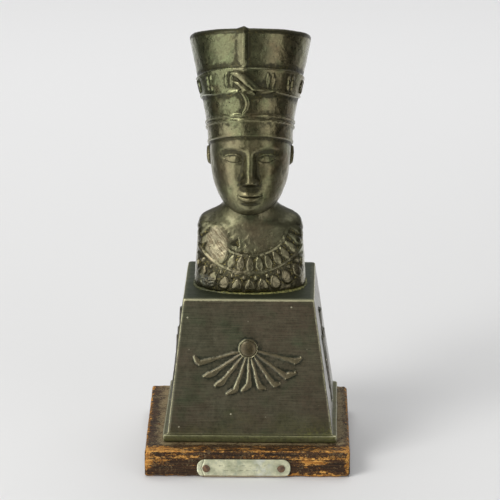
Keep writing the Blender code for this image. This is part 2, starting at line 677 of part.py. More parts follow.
def make_pedestal(collection, tools, finish):
    top, bottom = PEDESTAL_TOP_WIDTH, PEDESTAL_BOTTOM_WIDTH
    rise = PEDESTAL_HEIGHT - FOOT_HEIGHT
    sunk = 0.5 * FOOT_HEIGHT
    lean = face_slope(bottom, top, rise)
    wide = bottom + 2 * sunk * math.tan(lean)
    mesh = tapered_block("pedestal", (wide, wide), (top, top), rise + sunk)
    mesh.transform(Matrix.Translation((0.0, 0.0, FOOT_HEIGHT - sunk)))
    pedestal = add_object("pedestal", mesh, collection, finish)
    pedestal.location = (PEDESTAL_X, PEDESTAL_Y, BASE_THICKNESS + GAP)
    pedestal.rotation_euler = (0.0, 0.0, PEDESTAL_TURN)
    bevel(pedestal, PEDESTAL_EDGE_RADIUS, 2)
    foot_mesh = tapered_block("foot tool", (FOOT_WIDTH,) * 2, (FOOT_WIDTH,) * 2, FOOT_HEIGHT)
    foot = add_helper("foot tool", foot_mesh, tools)
    bevel(foot, FOOT_EDGE_RADIUS, 2)
    raise_on_face(pedestal, foot, Matrix.Identity(4))
    sun = pedestal_face_matrix(0.0, rise - DISC_BELOW_TOP, DISC_X)
    raise_on_face(pedestal, sun_disc(tools), sun)
    for index, ray in enumerate(RAYS):
        raise_on_face(pedestal, tube(f"ray tool {index}", *ray_stroke(*ray), tools), sun)
    for side, turn in (("left", -math.pi / 2), ("right", math.pi / 2)):
        place = pedestal_face_matrix(turn, CLUMP_ABOVE_FOOT)
        for bend, height in ((-1, SIDE_STEM_HEIGHT), (0, CLUMP_HEIGHT), (1, SIDE_STEM_HEIGHT)):
            stem = papyrus_stem(bend, height)
            stem_tool = tube(f"stem tool {side} {bend}", stem, [STEM_RADIUS] * len(stem), tools)
            raise_on_face(pedestal, stem_tool, place)
            raise_on_face(pedestal, papyrus_head(f"head tool {side} {bend}", *stem[-1][:2], tools), place)
    smooth_shading(mesh)
    return pedestal


def nail_places():
    """Left and right nail, as x and z on the base's front."""
    height = PLATE_ABOVE_UNDERSIDE + PLATE_HEIGHT / 2
    reach = PLATE_LENGTH / 2 - NAIL_INSET
    return {"left": (PLATE_X - reach, height), "right": (PLATE_X + reach, height)}


def nail_matrix(place, out):
    """Turns a shape made along Z so that it points out of the base's front."""
    x, z = place
    return Matrix.Translation((x, -BASE_DEPTH / 2 - out, z)) @ Matrix.Rotation(math.pi / 2, 4, "X")


def hole_tool(name, place, collection):
    radius = NAIL_SHANK_RADIUS + NAIL_CLEARANCE
    deep = NAIL_LENGTH + GAP
    high = 2 * GAP + 2 * PLATE_THICKNESS
    profile = [(0.0, high), (radius, high), (radius, -deep), (0.0, -deep)]
    tool = turned_helper(name, profile, NAIL_STEPS, collection)
    tool.matrix_world = nail_matrix(place, 0.0)
    return tool


def make_base(collection, tools, finish):
    size = (BASE_WIDTH, BASE_DEPTH)
    mesh = tapered_block("wooden_base", size, size, BASE_THICKNESS)
    bm = bmesh.new()
    bm.from_mesh(mesh)
    upright = [e for e in bm.edges if abs(e.verts[0].co.z - e.verts[1].co.z) > 0.5 * BASE_THICKNESS]
    bmesh.ops.bevel(bm, geom=upright, offset=BASE_CORNER_RADIUS, segments=4, profile=0.5, affect="EDGES")
    bm.to_mesh(mesh)
    bm.free()
    base = add_object("wooden_base", mesh, collection, finish)
    bevel(base, BASE_EDGE_RADIUS, 2, math.radians(60))
    for side, place in nail_places().items():
        boolean(base, hole_tool(f"base hole {side}", place, tools), "DIFFERENCE")
    smooth_shading(mesh)
    return base


def make_plate(collection, tools, finish):
    outline = bpy.data.curves.new("plate outline", "CURVE")
    outline.dimensions = "2D"
    outline.fill_mode = "BOTH"
    outline.extrude = PLATE_THICKNESS / 2
    spline = outline.splines.new("POLY")
    corner_steps = 6
    points = []
    for quarter, (sx, sz) in enumerate(((1, 1), (-1, 1), (-1, -1), (1, -1))):
        cx = sx * (PLATE_LENGTH / 2 - PLATE_CORNER_RADIUS)
        cz = sz * (PLATE_HEIGHT / 2 - PLATE_CORNER_RADIUS)
        for step in range(corner_steps + 1):
            turn = math.pi / 2 * (quarter + step / corner_steps)
            x = cx + PLATE_CORNER_RADIUS * math.cos(turn)
            points.append((x, cz + PLATE_CORNER_RADIUS * math.sin(turn)))
    spline.points.add(len(points) - 1)
    for slot, (x, z) in zip(spline.points, points):
        slot.co = (x, z, 0.0, 1.0)
    spline.use_cyclic_u = True
    drawn = bpy.data.objects.new("plate outline", outline)
    tools.objects.link(drawn)
    bpy.context.view_layer.update()
    evaluated = drawn.evaluated_get(bpy.context.evaluated_depsgraph_get())
    mesh = bpy.data.meshes.new_from_object(evaluated)
    bpy.data.objects.remove(drawn)
    bm = bmesh.new()
    bm.from_mesh(mesh)
    bmesh.ops.remove_doubles(bm, verts=bm.verts, dist=MERGE)
    plate = add_object("name_plate", mesh_from_bmesh("name_plate", bm), collection, finish)
    middle = (PLATE_X, PLATE_ABOVE_UNDERSIDE + PLATE_HEIGHT / 2)
    plate.matrix_world = nail_matrix(middle, GAP + PLATE_THICKNESS / 2)
    for side, place in nail_places().items():
        boolean(plate, hole_tool(f"plate hole {side}", place, tools), "DIFFERENCE")
    return plate


def make_nail(side, place, collection, finish):
    seat = 2 * GAP + PLATE_THICKNESS
    head, shank = NAIL_HEAD_RADIUS, NAIL_SHANK_RADIUS
    profile = [
        (0.0, seat + NAIL_HEAD_RISE),
        (0.55 * head, seat + 0.85 * NAIL_HEAD_RISE),
        (0.88 * head, seat + 0.5 * NAIL_HEAD_RISE),
        (head, seat),
        (shank, seat),
        (shank, -0.85 * NAIL_LENGTH),
        (0.0, -NAIL_LENGTH),
    ]
    nail = turned(f"nail_{side}", profile, NAIL_STEPS, collection, finish)
    nail.matrix_world = nail_matrix(place, 0.0)
    return nail


def main():
    clear_scene()
    parts = new_collection("queen statue")
    tools = new_collection("tools", hidden=True)
    bronze = material("patinated bronze", (0.075, 0.07, 0.045), 0.38, 0.85)
    painted = material("dark pedestal", (0.05, 0.05, 0.032), 0.42, 0.7)
    wood = material("worn stained wood", (0.09, 0.045, 0.022), 0.6, 0.0)
    plate_metal = material("dull plate", (0.42, 0.43, 0.34), 0.5, 0.6)
    nail_metal = material("rusted nail", (0.12, 0.07, 0.045), 0.6, 0.6)
    make_base(parts, tools, wood)
    make_pedestal(parts, tools, painted)
    make_bust(parts, bronze)
    make_plate(parts, tools, plate_metal)
    for side, place in nail_places().items():
        make_nail(side, place, parts, nail_metal)


main()
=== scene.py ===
import math

import bmesh
import bpy
import numpy as np
from mathutils import Matrix, Vector


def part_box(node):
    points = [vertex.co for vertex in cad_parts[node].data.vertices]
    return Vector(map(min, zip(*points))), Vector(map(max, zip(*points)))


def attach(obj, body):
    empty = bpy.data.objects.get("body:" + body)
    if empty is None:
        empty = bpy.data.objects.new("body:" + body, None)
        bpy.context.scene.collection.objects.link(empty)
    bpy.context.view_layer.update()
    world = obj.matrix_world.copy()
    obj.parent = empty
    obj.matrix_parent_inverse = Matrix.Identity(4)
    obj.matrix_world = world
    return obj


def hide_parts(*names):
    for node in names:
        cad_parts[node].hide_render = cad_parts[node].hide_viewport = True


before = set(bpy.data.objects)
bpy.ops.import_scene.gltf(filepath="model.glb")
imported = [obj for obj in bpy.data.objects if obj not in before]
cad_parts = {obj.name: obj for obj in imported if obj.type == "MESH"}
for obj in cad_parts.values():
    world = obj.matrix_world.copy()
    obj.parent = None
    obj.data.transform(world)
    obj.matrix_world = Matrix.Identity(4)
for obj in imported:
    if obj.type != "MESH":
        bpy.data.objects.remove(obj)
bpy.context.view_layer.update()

# Bust of an Egyptian queen in a tall crown, dark cast metal on a tapered pedestal and a worn wooden base.
# Meshes are in metres in the frame's own coordinates. The shapes below are worked out in millimetres or in
# shares of a piece's size, and turned into metres when the mesh is made.

MM = 0.001

# Camera, fitted to the edges of the base and the pedestal, for a picture 500 pixels square
PICTURE = 500
FOCAL_PIXELS = 3340.3
SENSOR_WIDTH = 36.0
CAMERA_DISTANCE = 1.186
CAMERA_PITCH = math.radians(16.5)
CAMERA_YAW = math.radians(0.63)
CAMERA_TARGET = (0.00055, 0.0, 0.07237)

# Studio: soft panels by azimuth in degrees from the camera's side, positive to the right, as start, end,
# softness and strength
WORLD_PANELS = (
    (-77.0, -18.0, 9.0, 2.3),
    (26.0, 58.0, 7.0, 1.9),
    (116.0, 400.0, 16.0, 1.2),
    (-400.0, -134.0, 14.0, 1.2),
)
PANEL_TOP = (0.28, 0.5)
WORLD_DARK = 0.05
TOP_LIGHT = 0.32
TOP_LIGHT_RISE = (0.2, 0.4)
TOP_LIGHT_FALL = (0.66, 0.95)
ZENITH_SHARE = 0.3
TABLE_LIGHT = 0.7
TABLE_HEIGHTS = (-0.45, -0.8)
BACKGROUND_HEIGHT = 0.12
FLOOR_SIZE = 3.0

# Places taken from the frame, in millimetres
BUST_FOOT_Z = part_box("bust")[0][2] / MM
PEDESTAL_FOOT_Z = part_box("pedestal")[0][2] / MM
WOOD_LOW, WOOD_HIGH = (np.array(corner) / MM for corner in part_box("wooden_base"))
PLATE_LOW, PLATE_HIGH = (np.array(corner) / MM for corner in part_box("name_plate"))

# Bust: its mesh, and its unit, a hundredth of its nominal height
BUST_UNIT = 0.955
BUST_X = 0.65
BUST_Y = 0.0
BUST_ROWS = 318
BUST_COLUMNS = 312
NO_CUT = 60.0
CUT_SHARPNESS = 14.0

# The bust's sections, from the bottom up, in hundredths of its height. The columns are: centre height,
# centre y, tilt in degrees (front edge raised), half width, depth to the front, depth to the back,
# squareness, and half width of the flat cut at the sides.
SECTIONS = (
    (0.0, 0.5, 0.0, 21.5, 14.4, 15.0, 2.0, 20.8),
    (0.8, 0.5, 0.0, 22.2, 14.9, 15.5, 2.0, 21.2),
    (5.5, 0.5, 0.0, 22.2, 14.9, 15.6, 2.0, 21.0),
    (10.5, 0.6, 0.0, 21.8, 14.1, 15.6, 2.05, 20.6),
    (14.5, 0.8, 0.0, 21.5, 12.4, 15.2, 2.1, 20.3),
    (18.0, 1.0, -1.0, 21.2, 10.9, 14.4, 2.1, 20.0),
    (21.4, 1.1, -3.5, 20.9, 9.6, 13.0, 2.1, 19.8),
    (23.7, 1.1, -7.0, 20.2, 8.95, 11.6, 2.05, 19.6),
    (25.1, 1.0, -10.0, 18.2, 8.6, 10.6, 1.95, 19.8),
    (26.1, 0.9, -13.0, 15.6, 8.35, 9.9, 1.9, 24.0),
    (27.3, 0.9, -16.0, 12.9, 8.15, 9.4, 1.9, 40.0),
    (28.9, 0.9, -19.0, 10.7, 7.9, 9.3, 1.95, NO_CUT),
    (31.0, 0.9, -22.5, 9.5, 7.65, 9.4, 2.0, NO_CUT),
    (34.4, 0.9, -28.0, 9.2, 7.45, 9.4, 2.1, NO_CUT),
    (35.9, 0.6, -32.0, 9.5, 8.2, 9.6, 2.1, NO_CUT),
    (36.4, 0.5, -33.5, 10.6, 12.2, 9.9, 2.0, NO_CUT),
    (37.2, 0.5, -33.5, 11.9, 14.9, 10.4, 1.95, NO_CUT),
    (38.8, 0.5, -31.0, 12.9, 16.2, 11.1, 1.95, NO_CUT),
    (41.6, 0.5, -25.0, 13.8, 16.7, 11.9, 2.05, NO_CUT),
    (45.5, 0.5, -16.0, 14.5, 16.2, 13.0, 2.2, NO_CUT),
    (50.0, 0.5, -4.0, 14.9, 15.6, 14.2, 2.2, NO_CUT),
    (54.5, 0.5, 2.5, 15.0, 15.8, 15.3, 2.2, NO_CUT),
    (58.3, 0.6, 5.5, 15.2, 16.2, 16.0, 2.15, NO_CUT),
    (63.5, 1.4, 8.5, 15.8, 16.7, 16.5, 2.1, NO_CUT),
    (70.0, 3.0, 12.0, 17.1, 17.5, 17.3, 2.0, NO_CUT),
    (76.0, 4.8, 15.5, 18.5, 18.4, 18.3, 2.0, NO_CUT),
    (82.0, 7.0, 18.0, 19.9, 19.3, 19.5, 2.0, NO_CUT),
    (88.8, 9.7, 19.4, 21.4, 20.3, 20.8, 2.0, NO_CUT),
    (90.5, 10.3, 19.6, 21.7, 20.5, 21.1, 2.0, NO_CUT),
    (91.2, 10.5, 19.6, 21.0, 19.8, 20.4, 2.0, NO_CUT),
)

# Rows of the bust's mesh lie this much closer together from one height to another, in the same hundredths
CLOSER_ROWS = ((0.0, 24.0, 1.5), (30.0, 40.0, 1.3), (40.0, 58.0, 1.9), (58.0, 69.0, 1.3), (69.0, 82.0, 1.5))

# Heights on the face, by the usual thirds and halves of a head
CHIN = 28.7
HEAD = 44.0
EYE_LINE = CHIN + HEAD / 2
THIRD = HEAD / 3.5
NOSE_BASE = CHIN + THIRD
BROW_LINE = CHIN + 2 * THIRD
MOUTH_LINE = NOSE_BASE - THIRD / 3
EYE_X = 6.1
EYE_HALF_WIDTH = 3.5
MOUTH_HALF_WIDTH = 4.5
EAR_Y = 3.4
EAR_HEIGHT = 48.2
EAR_HALF_HEIGHT = 3.7

# Crown: its plaques by degrees from the front, and the serpent as points of x, height and half width
CROWN_EDGE = 59.9
CROWN_SIDE_DROP = 7.0
CROWN_THICKNESS = 0.6
NAPE_DROP = 7.0
CORD_HEIGHTS = (6.1, 7.9)
RIBBON_LOW = 72.0
RIBBON_HIGH = 79.3
RIBBON_RISE = 0.5
RIBBON_SIDE_DROP = 2.4
RIBBON_SWAY = 0.35
KEEL_X = -2.0
KEEL_LEFT = 3.0
KEEL_RIGHT = 1.6
KEEL_RISE = 1.5
PLAQUE_ANGLES = (20.0, 26.0, 47.0, 53.0, 74.0, 80.0, 101.0, 107.0, 128.0, 134.0, 155.0, 161.0)
SERPENT_RISE = 0.85
SERPENT_BODY = (
    (-6.0, 82.6, 0.7),
    (-4.2, 82.1, 1.2),
    (-2.2, 81.0, 1.5),
    (-0.4, 79.4, 1.5),
    (1.4, 77.8, 1.3),
    (3.4, 76.6, 1.1),
    (5.6, 76.0, 0.9),
    (8.2, 75.8, 0.6),
)
SERPENT_NECK = ((-5.4, 79.6, 0.4), (-3.8, 78.9, 0.9), (-2.2, 77.7, 1.1), (-0.6, 76.2, 1.1), (1.4, 75.4, 0.6))
SERPENT_TAIL = (
    (-3.2, 76.2, 0.7),
    (-1.9, 74.9, 1.0),
    (-1.1, 73.4, 1.1),
    (-0.8, 71.8, 1.1),
    (-1.2, 70.2, 1.0),
    (-2.4, 68.6, 0.6),
)

# Broad collar: distances from a point inside the neck, and the number of petals all the way round
COLLAR_CENTRE = (0.0, 0.0, 22.9)
COLLAR_FACING = math.radians(40.0)
COLLAR_PETALS = 32
INNER_CORD = 15.1
OUTER_CORD = 20.9
INNER_PETALS = 18.0
OUTER_PETALS = 25.1
COLLAR_SIDE_LIMIT = 18.9
COLLAR_BACK = 4.5
COLLAR_TOP = 23.2
COLLAR_LIMIT = 33.0
BEADS = 22.6
BEAD_RADIUS = 0.75

# Damage on the collar, in the bust's hundredths: a pad worn smooth with scratches, a chip, a casting lump
WORN_CENTRE = (-12.0, 17.2)
WORN_REACH = (4.3, 5.6)
CHIP = ((-8.2, 17.2), (-4.4, 19.6), (-3.9, 16.6))
CHIP_DEPTH = 0.6
SCRATCH_SLANT = math.radians(-48.0)
LUMP_CENTRE = (-16.2, 3.2)
LUMP_REACH = (3.6, 2.3)
SHOULDER_BLOCK = (-17.1, 23.6)

# Pedestal, in millimetres from the middle of its underside. Its widths and its lean to the left are fitted
# to the photo, and differ from the solid's by up to 0.65 mm.
PEDESTAL_X = 1.2
PEDESTAL_Y = 3.4
PEDESTAL_TURN = math.radians(-0.8)
PEDESTAL_HEIGHT = 50.6
PEDESTAL_TOP_Z = PEDESTAL_FOOT_Z + PEDESTAL_HEIGHT
PEDESTAL_TOP_HALF = 23.0
PEDESTAL_TOP_SHIFT = -0.65
PEDESTAL_BOTTOM_HALF = 29.2
PEDESTAL_EDGE = 0.8
FOOT_HALF = 30.7
FOOT_HEIGHT = 2.4
DISC_X = -0.2
DISC_RADIUS = 3.3
DISC_BELOW_TOP = 17.6
SUN_HEIGHTS = (15.5, 38.5)
# The seam's bead round the bust's foot: how far it reaches outward and upward at its thickest
SEAM_REACH = (1.1, 0.8)

# Each ray's direction in degrees and length, and the direction and length of its hooked end
RAYS = (
    (197.0, 18.2, 126.0, 2.7),
    (215.0, 15.7, 197.0, 3.1),
    (232.0, 15.4, 204.0, 2.5),
    (252.5, 15.5, 203.0, 3.3),
    (270.5, 13.0, 219.0, 3.3),
    (285.0, 14.2, 349.0, 2.1),
    (304.3, 15.3, 3.0, 2.3),
    (323.0, 16.1, 18.0, 3.7),
    (344.5, 16.6, 28.0, 2.7),
)
RAY_HALF_WIDTH = 1.1
RAY_START = 2.4
RAY_RISE = 0.55
LEFT_FLANK = 0.75
RIGHT_FLANK = 0.2
STEM_RADIUS = 0.9
STEM_RISE = 0.6
STEM_SPACING = 2.4
CLUMP_HEIGHT = 34.0
SIDE_STEM_HEIGHT = 25.0
CLUMP_ABOVE_FOOT = 4.0
CLUMP_SPREAD = 6.0
HEAD_LENGTH = 7.0
HEAD_HALF_WIDTH = 2.8

# Wooden base, and where its front is worn to bare wood or stayed dark: centre, reach and strength, from the
# front's middle
WOOD_EDGE = 1.1
WOOD_EDGE_STEP = 0.25
WOOD_STEPS = (0.62, 0.45)
WOOD_PATCHES = (
    (-34.8, 0.8, 3.2, 6.0, 1.3),
    (-31.0, 2.0, 5.5, 2.4, 1.2),
    (-21.5, 2.4, 10.0, 0.8, 1.0),
    (3.0, 2.8, 15.0, 0.6, 0.85),
    (24.0, 1.4, 11.0, 2.4, 1.25),
    (24.0, -3.6, 12.0, 1.7, 0.9),
    (-14.0, -4.9, 16.0, 0.6, 0.85),
    (35.5, 0.0, 2.4, 7.0, 1.0),
)
DARK_PATCHES = (
    (31.0, -0.8, 2.4, 2.8, 0.9),
    (-33.6, -2.8, 2.6, 1.5, 0.9),
    (-30.5, 3.2, 2.0, 0.8, 0.7),
    (0.0, 4.1, 50.0, 0.5, 0.8),
)

# Name plate and nails. Each row of strokes has a height, the x where it starts and a number of strokes.
PLATE_CORNER = 2.8
PLATE_ROWS = 49
PLATE_COLUMNS = 181
PLATE_CREASE = ((-13.9, -3.2), (-14.9, 0.0), (-13.9, 3.2))
STROKE_ROWS = ((0.95, -8.4, 7), (-0.75, -6.9, 6))
STROKE_PITCH = 2.6
STROKE_LENGTH = 1.1
STROKE_LONGER = 0.45
STROKE_WIDTH = 0.17
NAIL_HEAD_RADIUS = 1.35
NAIL_HEAD_RISE = 0.6
NAIL_SHANK_RADIUS = 0.5
NAIL_POINT = 1.2


def smoothstep(low, high, value):
    """0 at low and before, 1 at high and beyond, and smoothly between."""
    share = np.clip((value - low) / (high - low), 0.0, 1.0)
    return share * share * (3.0 - 2.0 * share)


def hill(x, z, centre_x, centre_z, reach_x, reach_z):
    """A round hill of height 1."""
    return np.exp(-(((x - centre_x) / reach_x) ** 2) - ((z - centre_z) / reach_z) ** 2)


def ridge(distance, width):
    """1 where the distance is 0, falling to 0 on either side of it."""
    return np.exp(-((distance / width) ** 2))


def along_path(x, z, path):
    """Distance from each x, z to a line through the points of path, the share of the line passed there, and
    how far to the right of the line the place lies."""
    nearest = np.full(x.shape, np.inf)
    passed, aside = np.zeros(x.shape), np.zeros(x.shape)
    for index, ((ax, az), (bx, bz)) in enumerate(zip(path[:-1], path[1:])):
        dx, dz = bx - ax, bz - az
        share = np.clip(((x - ax) * dx + (z - az) * dz) / (dx * dx + dz * dz), 0.0, 1.0)
        distance = np.hypot(x - ax - share * dx, z - az - share * dz)
        closer = distance < nearest
        nearest = np.where(closer, distance, nearest)
        passed = np.where(closer, (index + share) / (len(path) - 1), passed)
        aside = np.where(closer, x - ax - share * dx, aside)
    return nearest, passed, aside


def value_noise(points, size, seed):
    """Smooth noise from -1 to 1 over points, with features of the given size. The same every run."""
    scaled = points / size
    cell = np.floor(scaled).astype(np.int64)
    share = scaled - cell
    share = share * share * (3.0 - 2.0 * share)
    total = np.zeros(points.shape[:-1])
    for corner in np.ndindex(2, 2, 2):
        place = cell + np.array(corner)
        x, y, z = np.moveaxis(place, -1, 0)
        mixed = x * 73856093 ^ y * 19349663 ^ z * 83492791 ^ seed * 2654435
        mixed = (mixed ^ (mixed >> 13)) * 1274126177
        value = ((mixed ^ (mixed >> 16)) & 0xFFFF) / 32767.5 - 1.0
        weight = np.ones(points.shape[:-1])
        for axis, side in enumerate(corner):
            weight = weight * (share[..., axis] if side else 1.0 - share[..., axis])
        total += weight * value
    return total


def rough_noise(points, size, seed, octaves=3):
    """Noise in layers, each half as coarse and half as strong as the one before."""
    total = np.zeros(points.shape[:-1])
    for octave in range(octaves):
        total += value_noise(points, size / 2**octave, seed + 17 * octave) / 2**octave
    return total


def blurred(field, across):
    """A box blur run twice along both axes of a field that is closed along its second axis."""
    width = 2 * across + 1
    for axis, mode in ((0, "edge"), (1, "wrap")) * 2:
        pads = [(across, across) if axis == each else (0, 0) for each in (0, 1)]
        total = np.cumsum(np.pad(field, pads, mode=mode), axis=axis)
        total = np.insert(total, 0, 0.0, axis=axis)
        upper = np.take(total, range(width, total.shape[axis]), axis=axis)
        lower = np.take(total, range(0, total.shape[axis] - width), axis=axis)
        field = (upper - lower) / width
    return field


def outward(surface):
    """Unit normals of a surface that is closed along its second axis."""
    along = np.gradient(surface, axis=0)
    around = np.roll(surface, -1, axis=1) - np.roll(surface, 1, axis=1)
    normal = np.cross(around, along)
    return normal / np.maximum(np.linalg.norm(normal, axis=-1, keepdims=True), 1e-12)


def mesh_of(name, vertices, faces, marks):
    """A mesh from points in millimetres. Each of marks is a named value for every point."""
    mesh = bpy.data.meshes.new(name)
    mesh.from_pydata((vertices * MM).tolist(), [], faces)
    for mark, values in marks.items():
        mesh.attributes.new(mark, "FLOAT", "POINT").data.foreach_set("value", values.astype(np.float32))
    mesh.update()
    return mesh


def with_caps(grid):
    """The values of a grid, row by row, and then the mean of its first row and of its last."""
    ends = [grid[0].mean(axis=0)], [grid[-1].mean(axis=0)]
    return np.concatenate([grid.reshape(-1, *grid.shape[2:]), *ends])


def closed_mesh(name, surface, marks):
    """A closed mesh from a grid of points that is closed along its second axis and capped at both ends.
    Each of marks is a grid of values."""
    rows, columns = surface.shape[:2]
    below, above = rows * columns, rows * columns + 1
    column = np.arange(columns)
    following = np.roll(column, -1)
    low = np.arange(rows - 1)[:, None] * columns
    high = low + columns
    quads = np.stack([low + column, low + following, high + following, high + column], axis=-1)
    top = (rows - 1) * columns
    pairs = list(zip(column.tolist(), following.tolist()))
    fans = [(below, b, a) for a, b in pairs] + [(above, top + a, top + b) for a, b in pairs]
    marks = {mark: with_caps(values) for mark, values in marks.items()}
    return mesh_of(name, with_caps(surface), quads.reshape(-1, 4).tolist() + fans, marks)


def add_piece(name, mesh, finish, replaces=None, sharp=math.radians(50)):
    """Adds a mesh to the scene as a piece of the part, smooth but for edges sharper than an angle."""
    piece = bpy.data.objects.new(name, mesh)
    bpy.context.scene.collection.objects.link(piece)
    mesh.materials.append(finish)
    mesh.shade_smooth()
    mesh.set_sharp_from_angle(angle=sharp)
    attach(piece, "root")
    if replaces:
        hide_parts(replaces)


def cavity_of(rise, across):
    """1 in a hollow, -1 on a high place, from how far a relief lies under its own blur."""
    return np.clip((blurred(rise, across) - rise) / 0.3, -1.0, 1.0)


def node(tree, kind, output=0, inputs=None, **settings):
    """Adds a shader node and gives one of its outputs, by name or number."""
    made = tree.nodes.new(kind)
    for key, value in settings.items():
        setattr(made, key, value)
    for key, value in (inputs or {}).items():
        socket = made.inputs[key]
        if isinstance(value, Value):
            tree.links.new(value.socket, socket)
        else:
            socket.default_value = (*value, 1.0) if socket.type == "RGBA" else value
    return Value(made.outputs[output])


class Value:
    """A shader node's output, for sums and products with others and with numbers."""

    def __init__(self, socket):
        self.socket = socket

    def math(self, operation, other=0.0):
        return node(self.socket.id_data, "ShaderNodeMath", inputs={0: self, 1: other}, operation=operation)

    def __add__(self, other):
        return self.math("ADD", other)

    def __sub__(self, other):
        return self.math("SUBTRACT", other)

    def __mul__(self, other):
        return self.math("MULTIPLY", other)

    def __neg__(self):
        return self * -1.0

    def __abs__(self):
        return self.math("ABSOLUTE")

    def step(self, low, high, bottom=0.0, top=1.0, kind="SMOOTHSTEP"):
        """Bottom at low and before, top at high and beyond, and between them smoothly or in a straight line."""
        inputs = {"Value": self, "From Min": low, "From Max": high, "To Min": bottom, "To Max": top}
        return node(self.socket.id_data, "ShaderNodeMapRange", inputs=inputs, interpolation_type=kind)


class Finish:
    """A material whose colour and bumps are laid one over another, with short calls for its nodes."""

    def __init__(self, name, **constants):
        self.material = bpy.data.materials.new(name)
        self.material.use_nodes = True
        self.tree = self.material.node_tree
        self.shader = self.tree.nodes["Principled BSDF"]
        for socket, value in constants.items():
            self.shader.inputs[socket.replace("_", " ")].default_value = value
        self.place = self.scaled(node(self.tree, "ShaderNodeTexCoord", "Object"), (1 / MM, 1 / MM, 1 / MM))
        self.color = self.normal = None

    def scaled(self, vector, scale, move=(0.0, 0.0, 0.0), turn=(0.0, 0.0, 0.0)):
        """The vector times scale, turned and moved: in millimetres, when it comes from self.place."""
        inputs = {"Vector": vector, "Scale": scale, "Location": move, "Rotation": turn}
        return node(self.tree, "ShaderNodeMapping", inputs=inputs)

    def axis(self, name):
        """One coordinate of the place, in millimetres."""
        return node(self.tree, "ShaderNodeSeparateXYZ", name, {"Vector": self.place})

    def mark(self, name):
        """A value stored in the mesh."""
        return node(self.tree, "ShaderNodeAttribute", "Fac", attribute_name=name)

    def noise_at(self, vector, detail, roughness=0.5):
        inputs = {"Vector": vector, "Scale": 1.0, "Detail": detail, "Roughness": roughness}
        return node(self.tree, "ShaderNodeTexNoise", "Fac", inputs)

    def noise(self, size, detail=4.0, roughness=0.55, stretch=(1.0, 1.0, 1.0), move=(0.0, 0.0, 0.0)):
        """Cloudy noise with features of size millimetres, stretched along the axes."""
        scale = tuple(1 / (size * each) for each in stretch)
        return self.noise_at(self.scaled(self.place, scale, move), detail, roughness)

    def cells(self, size, move=(0.0, 0.0, 0.0)):
        """Distance to the nearest of scattered points, about size millimetres apart."""
        vector = self.scaled(self.place, (1 / size, 1 / size, 1 / size), move)
        return node(self.tree, "ShaderNodeTexVoronoi", "Distance", {"Vector": vector, "Scale": 1.0})

    def blend(self, share, first, second):
        """The first colour with the second over it, as far as share says."""
        inputs = {0: share, 6: first, 7: second}
        return node(self.tree, "ShaderNodeMix", 2, inputs, data_type="RGBA", clamp_factor=True)

    def ground(self, share, first, second):
        """The undermost colours."""
        self.color = self.blend(share, first, second)

    def paint(self, share, color):
        """A colour over those before it, as far as share says."""
        self.color = self.blend(share, self.color, color)

    def bump(self, height, depth):
        """A bump of the given depth in millimetres, over those before it."""
        inputs = {"Height": height, "Distance": depth * MM, "Strength": 1.0}
        if self.normal is not None:
            inputs["Normal"] = self.normal
        self.normal = node(self.tree, "ShaderNodeBump", "Normal", inputs)

    def done(self, gloss=None):
        """The material, with its layers joined to the shader."""
        layers = {"Base Color": self.color, "Roughness": gloss, "Normal": self.normal}
        for socket, value in layers.items():
            if value is not None:
                self.tree.links.new(value.socket, self.shader.inputs[socket])
        return self.material


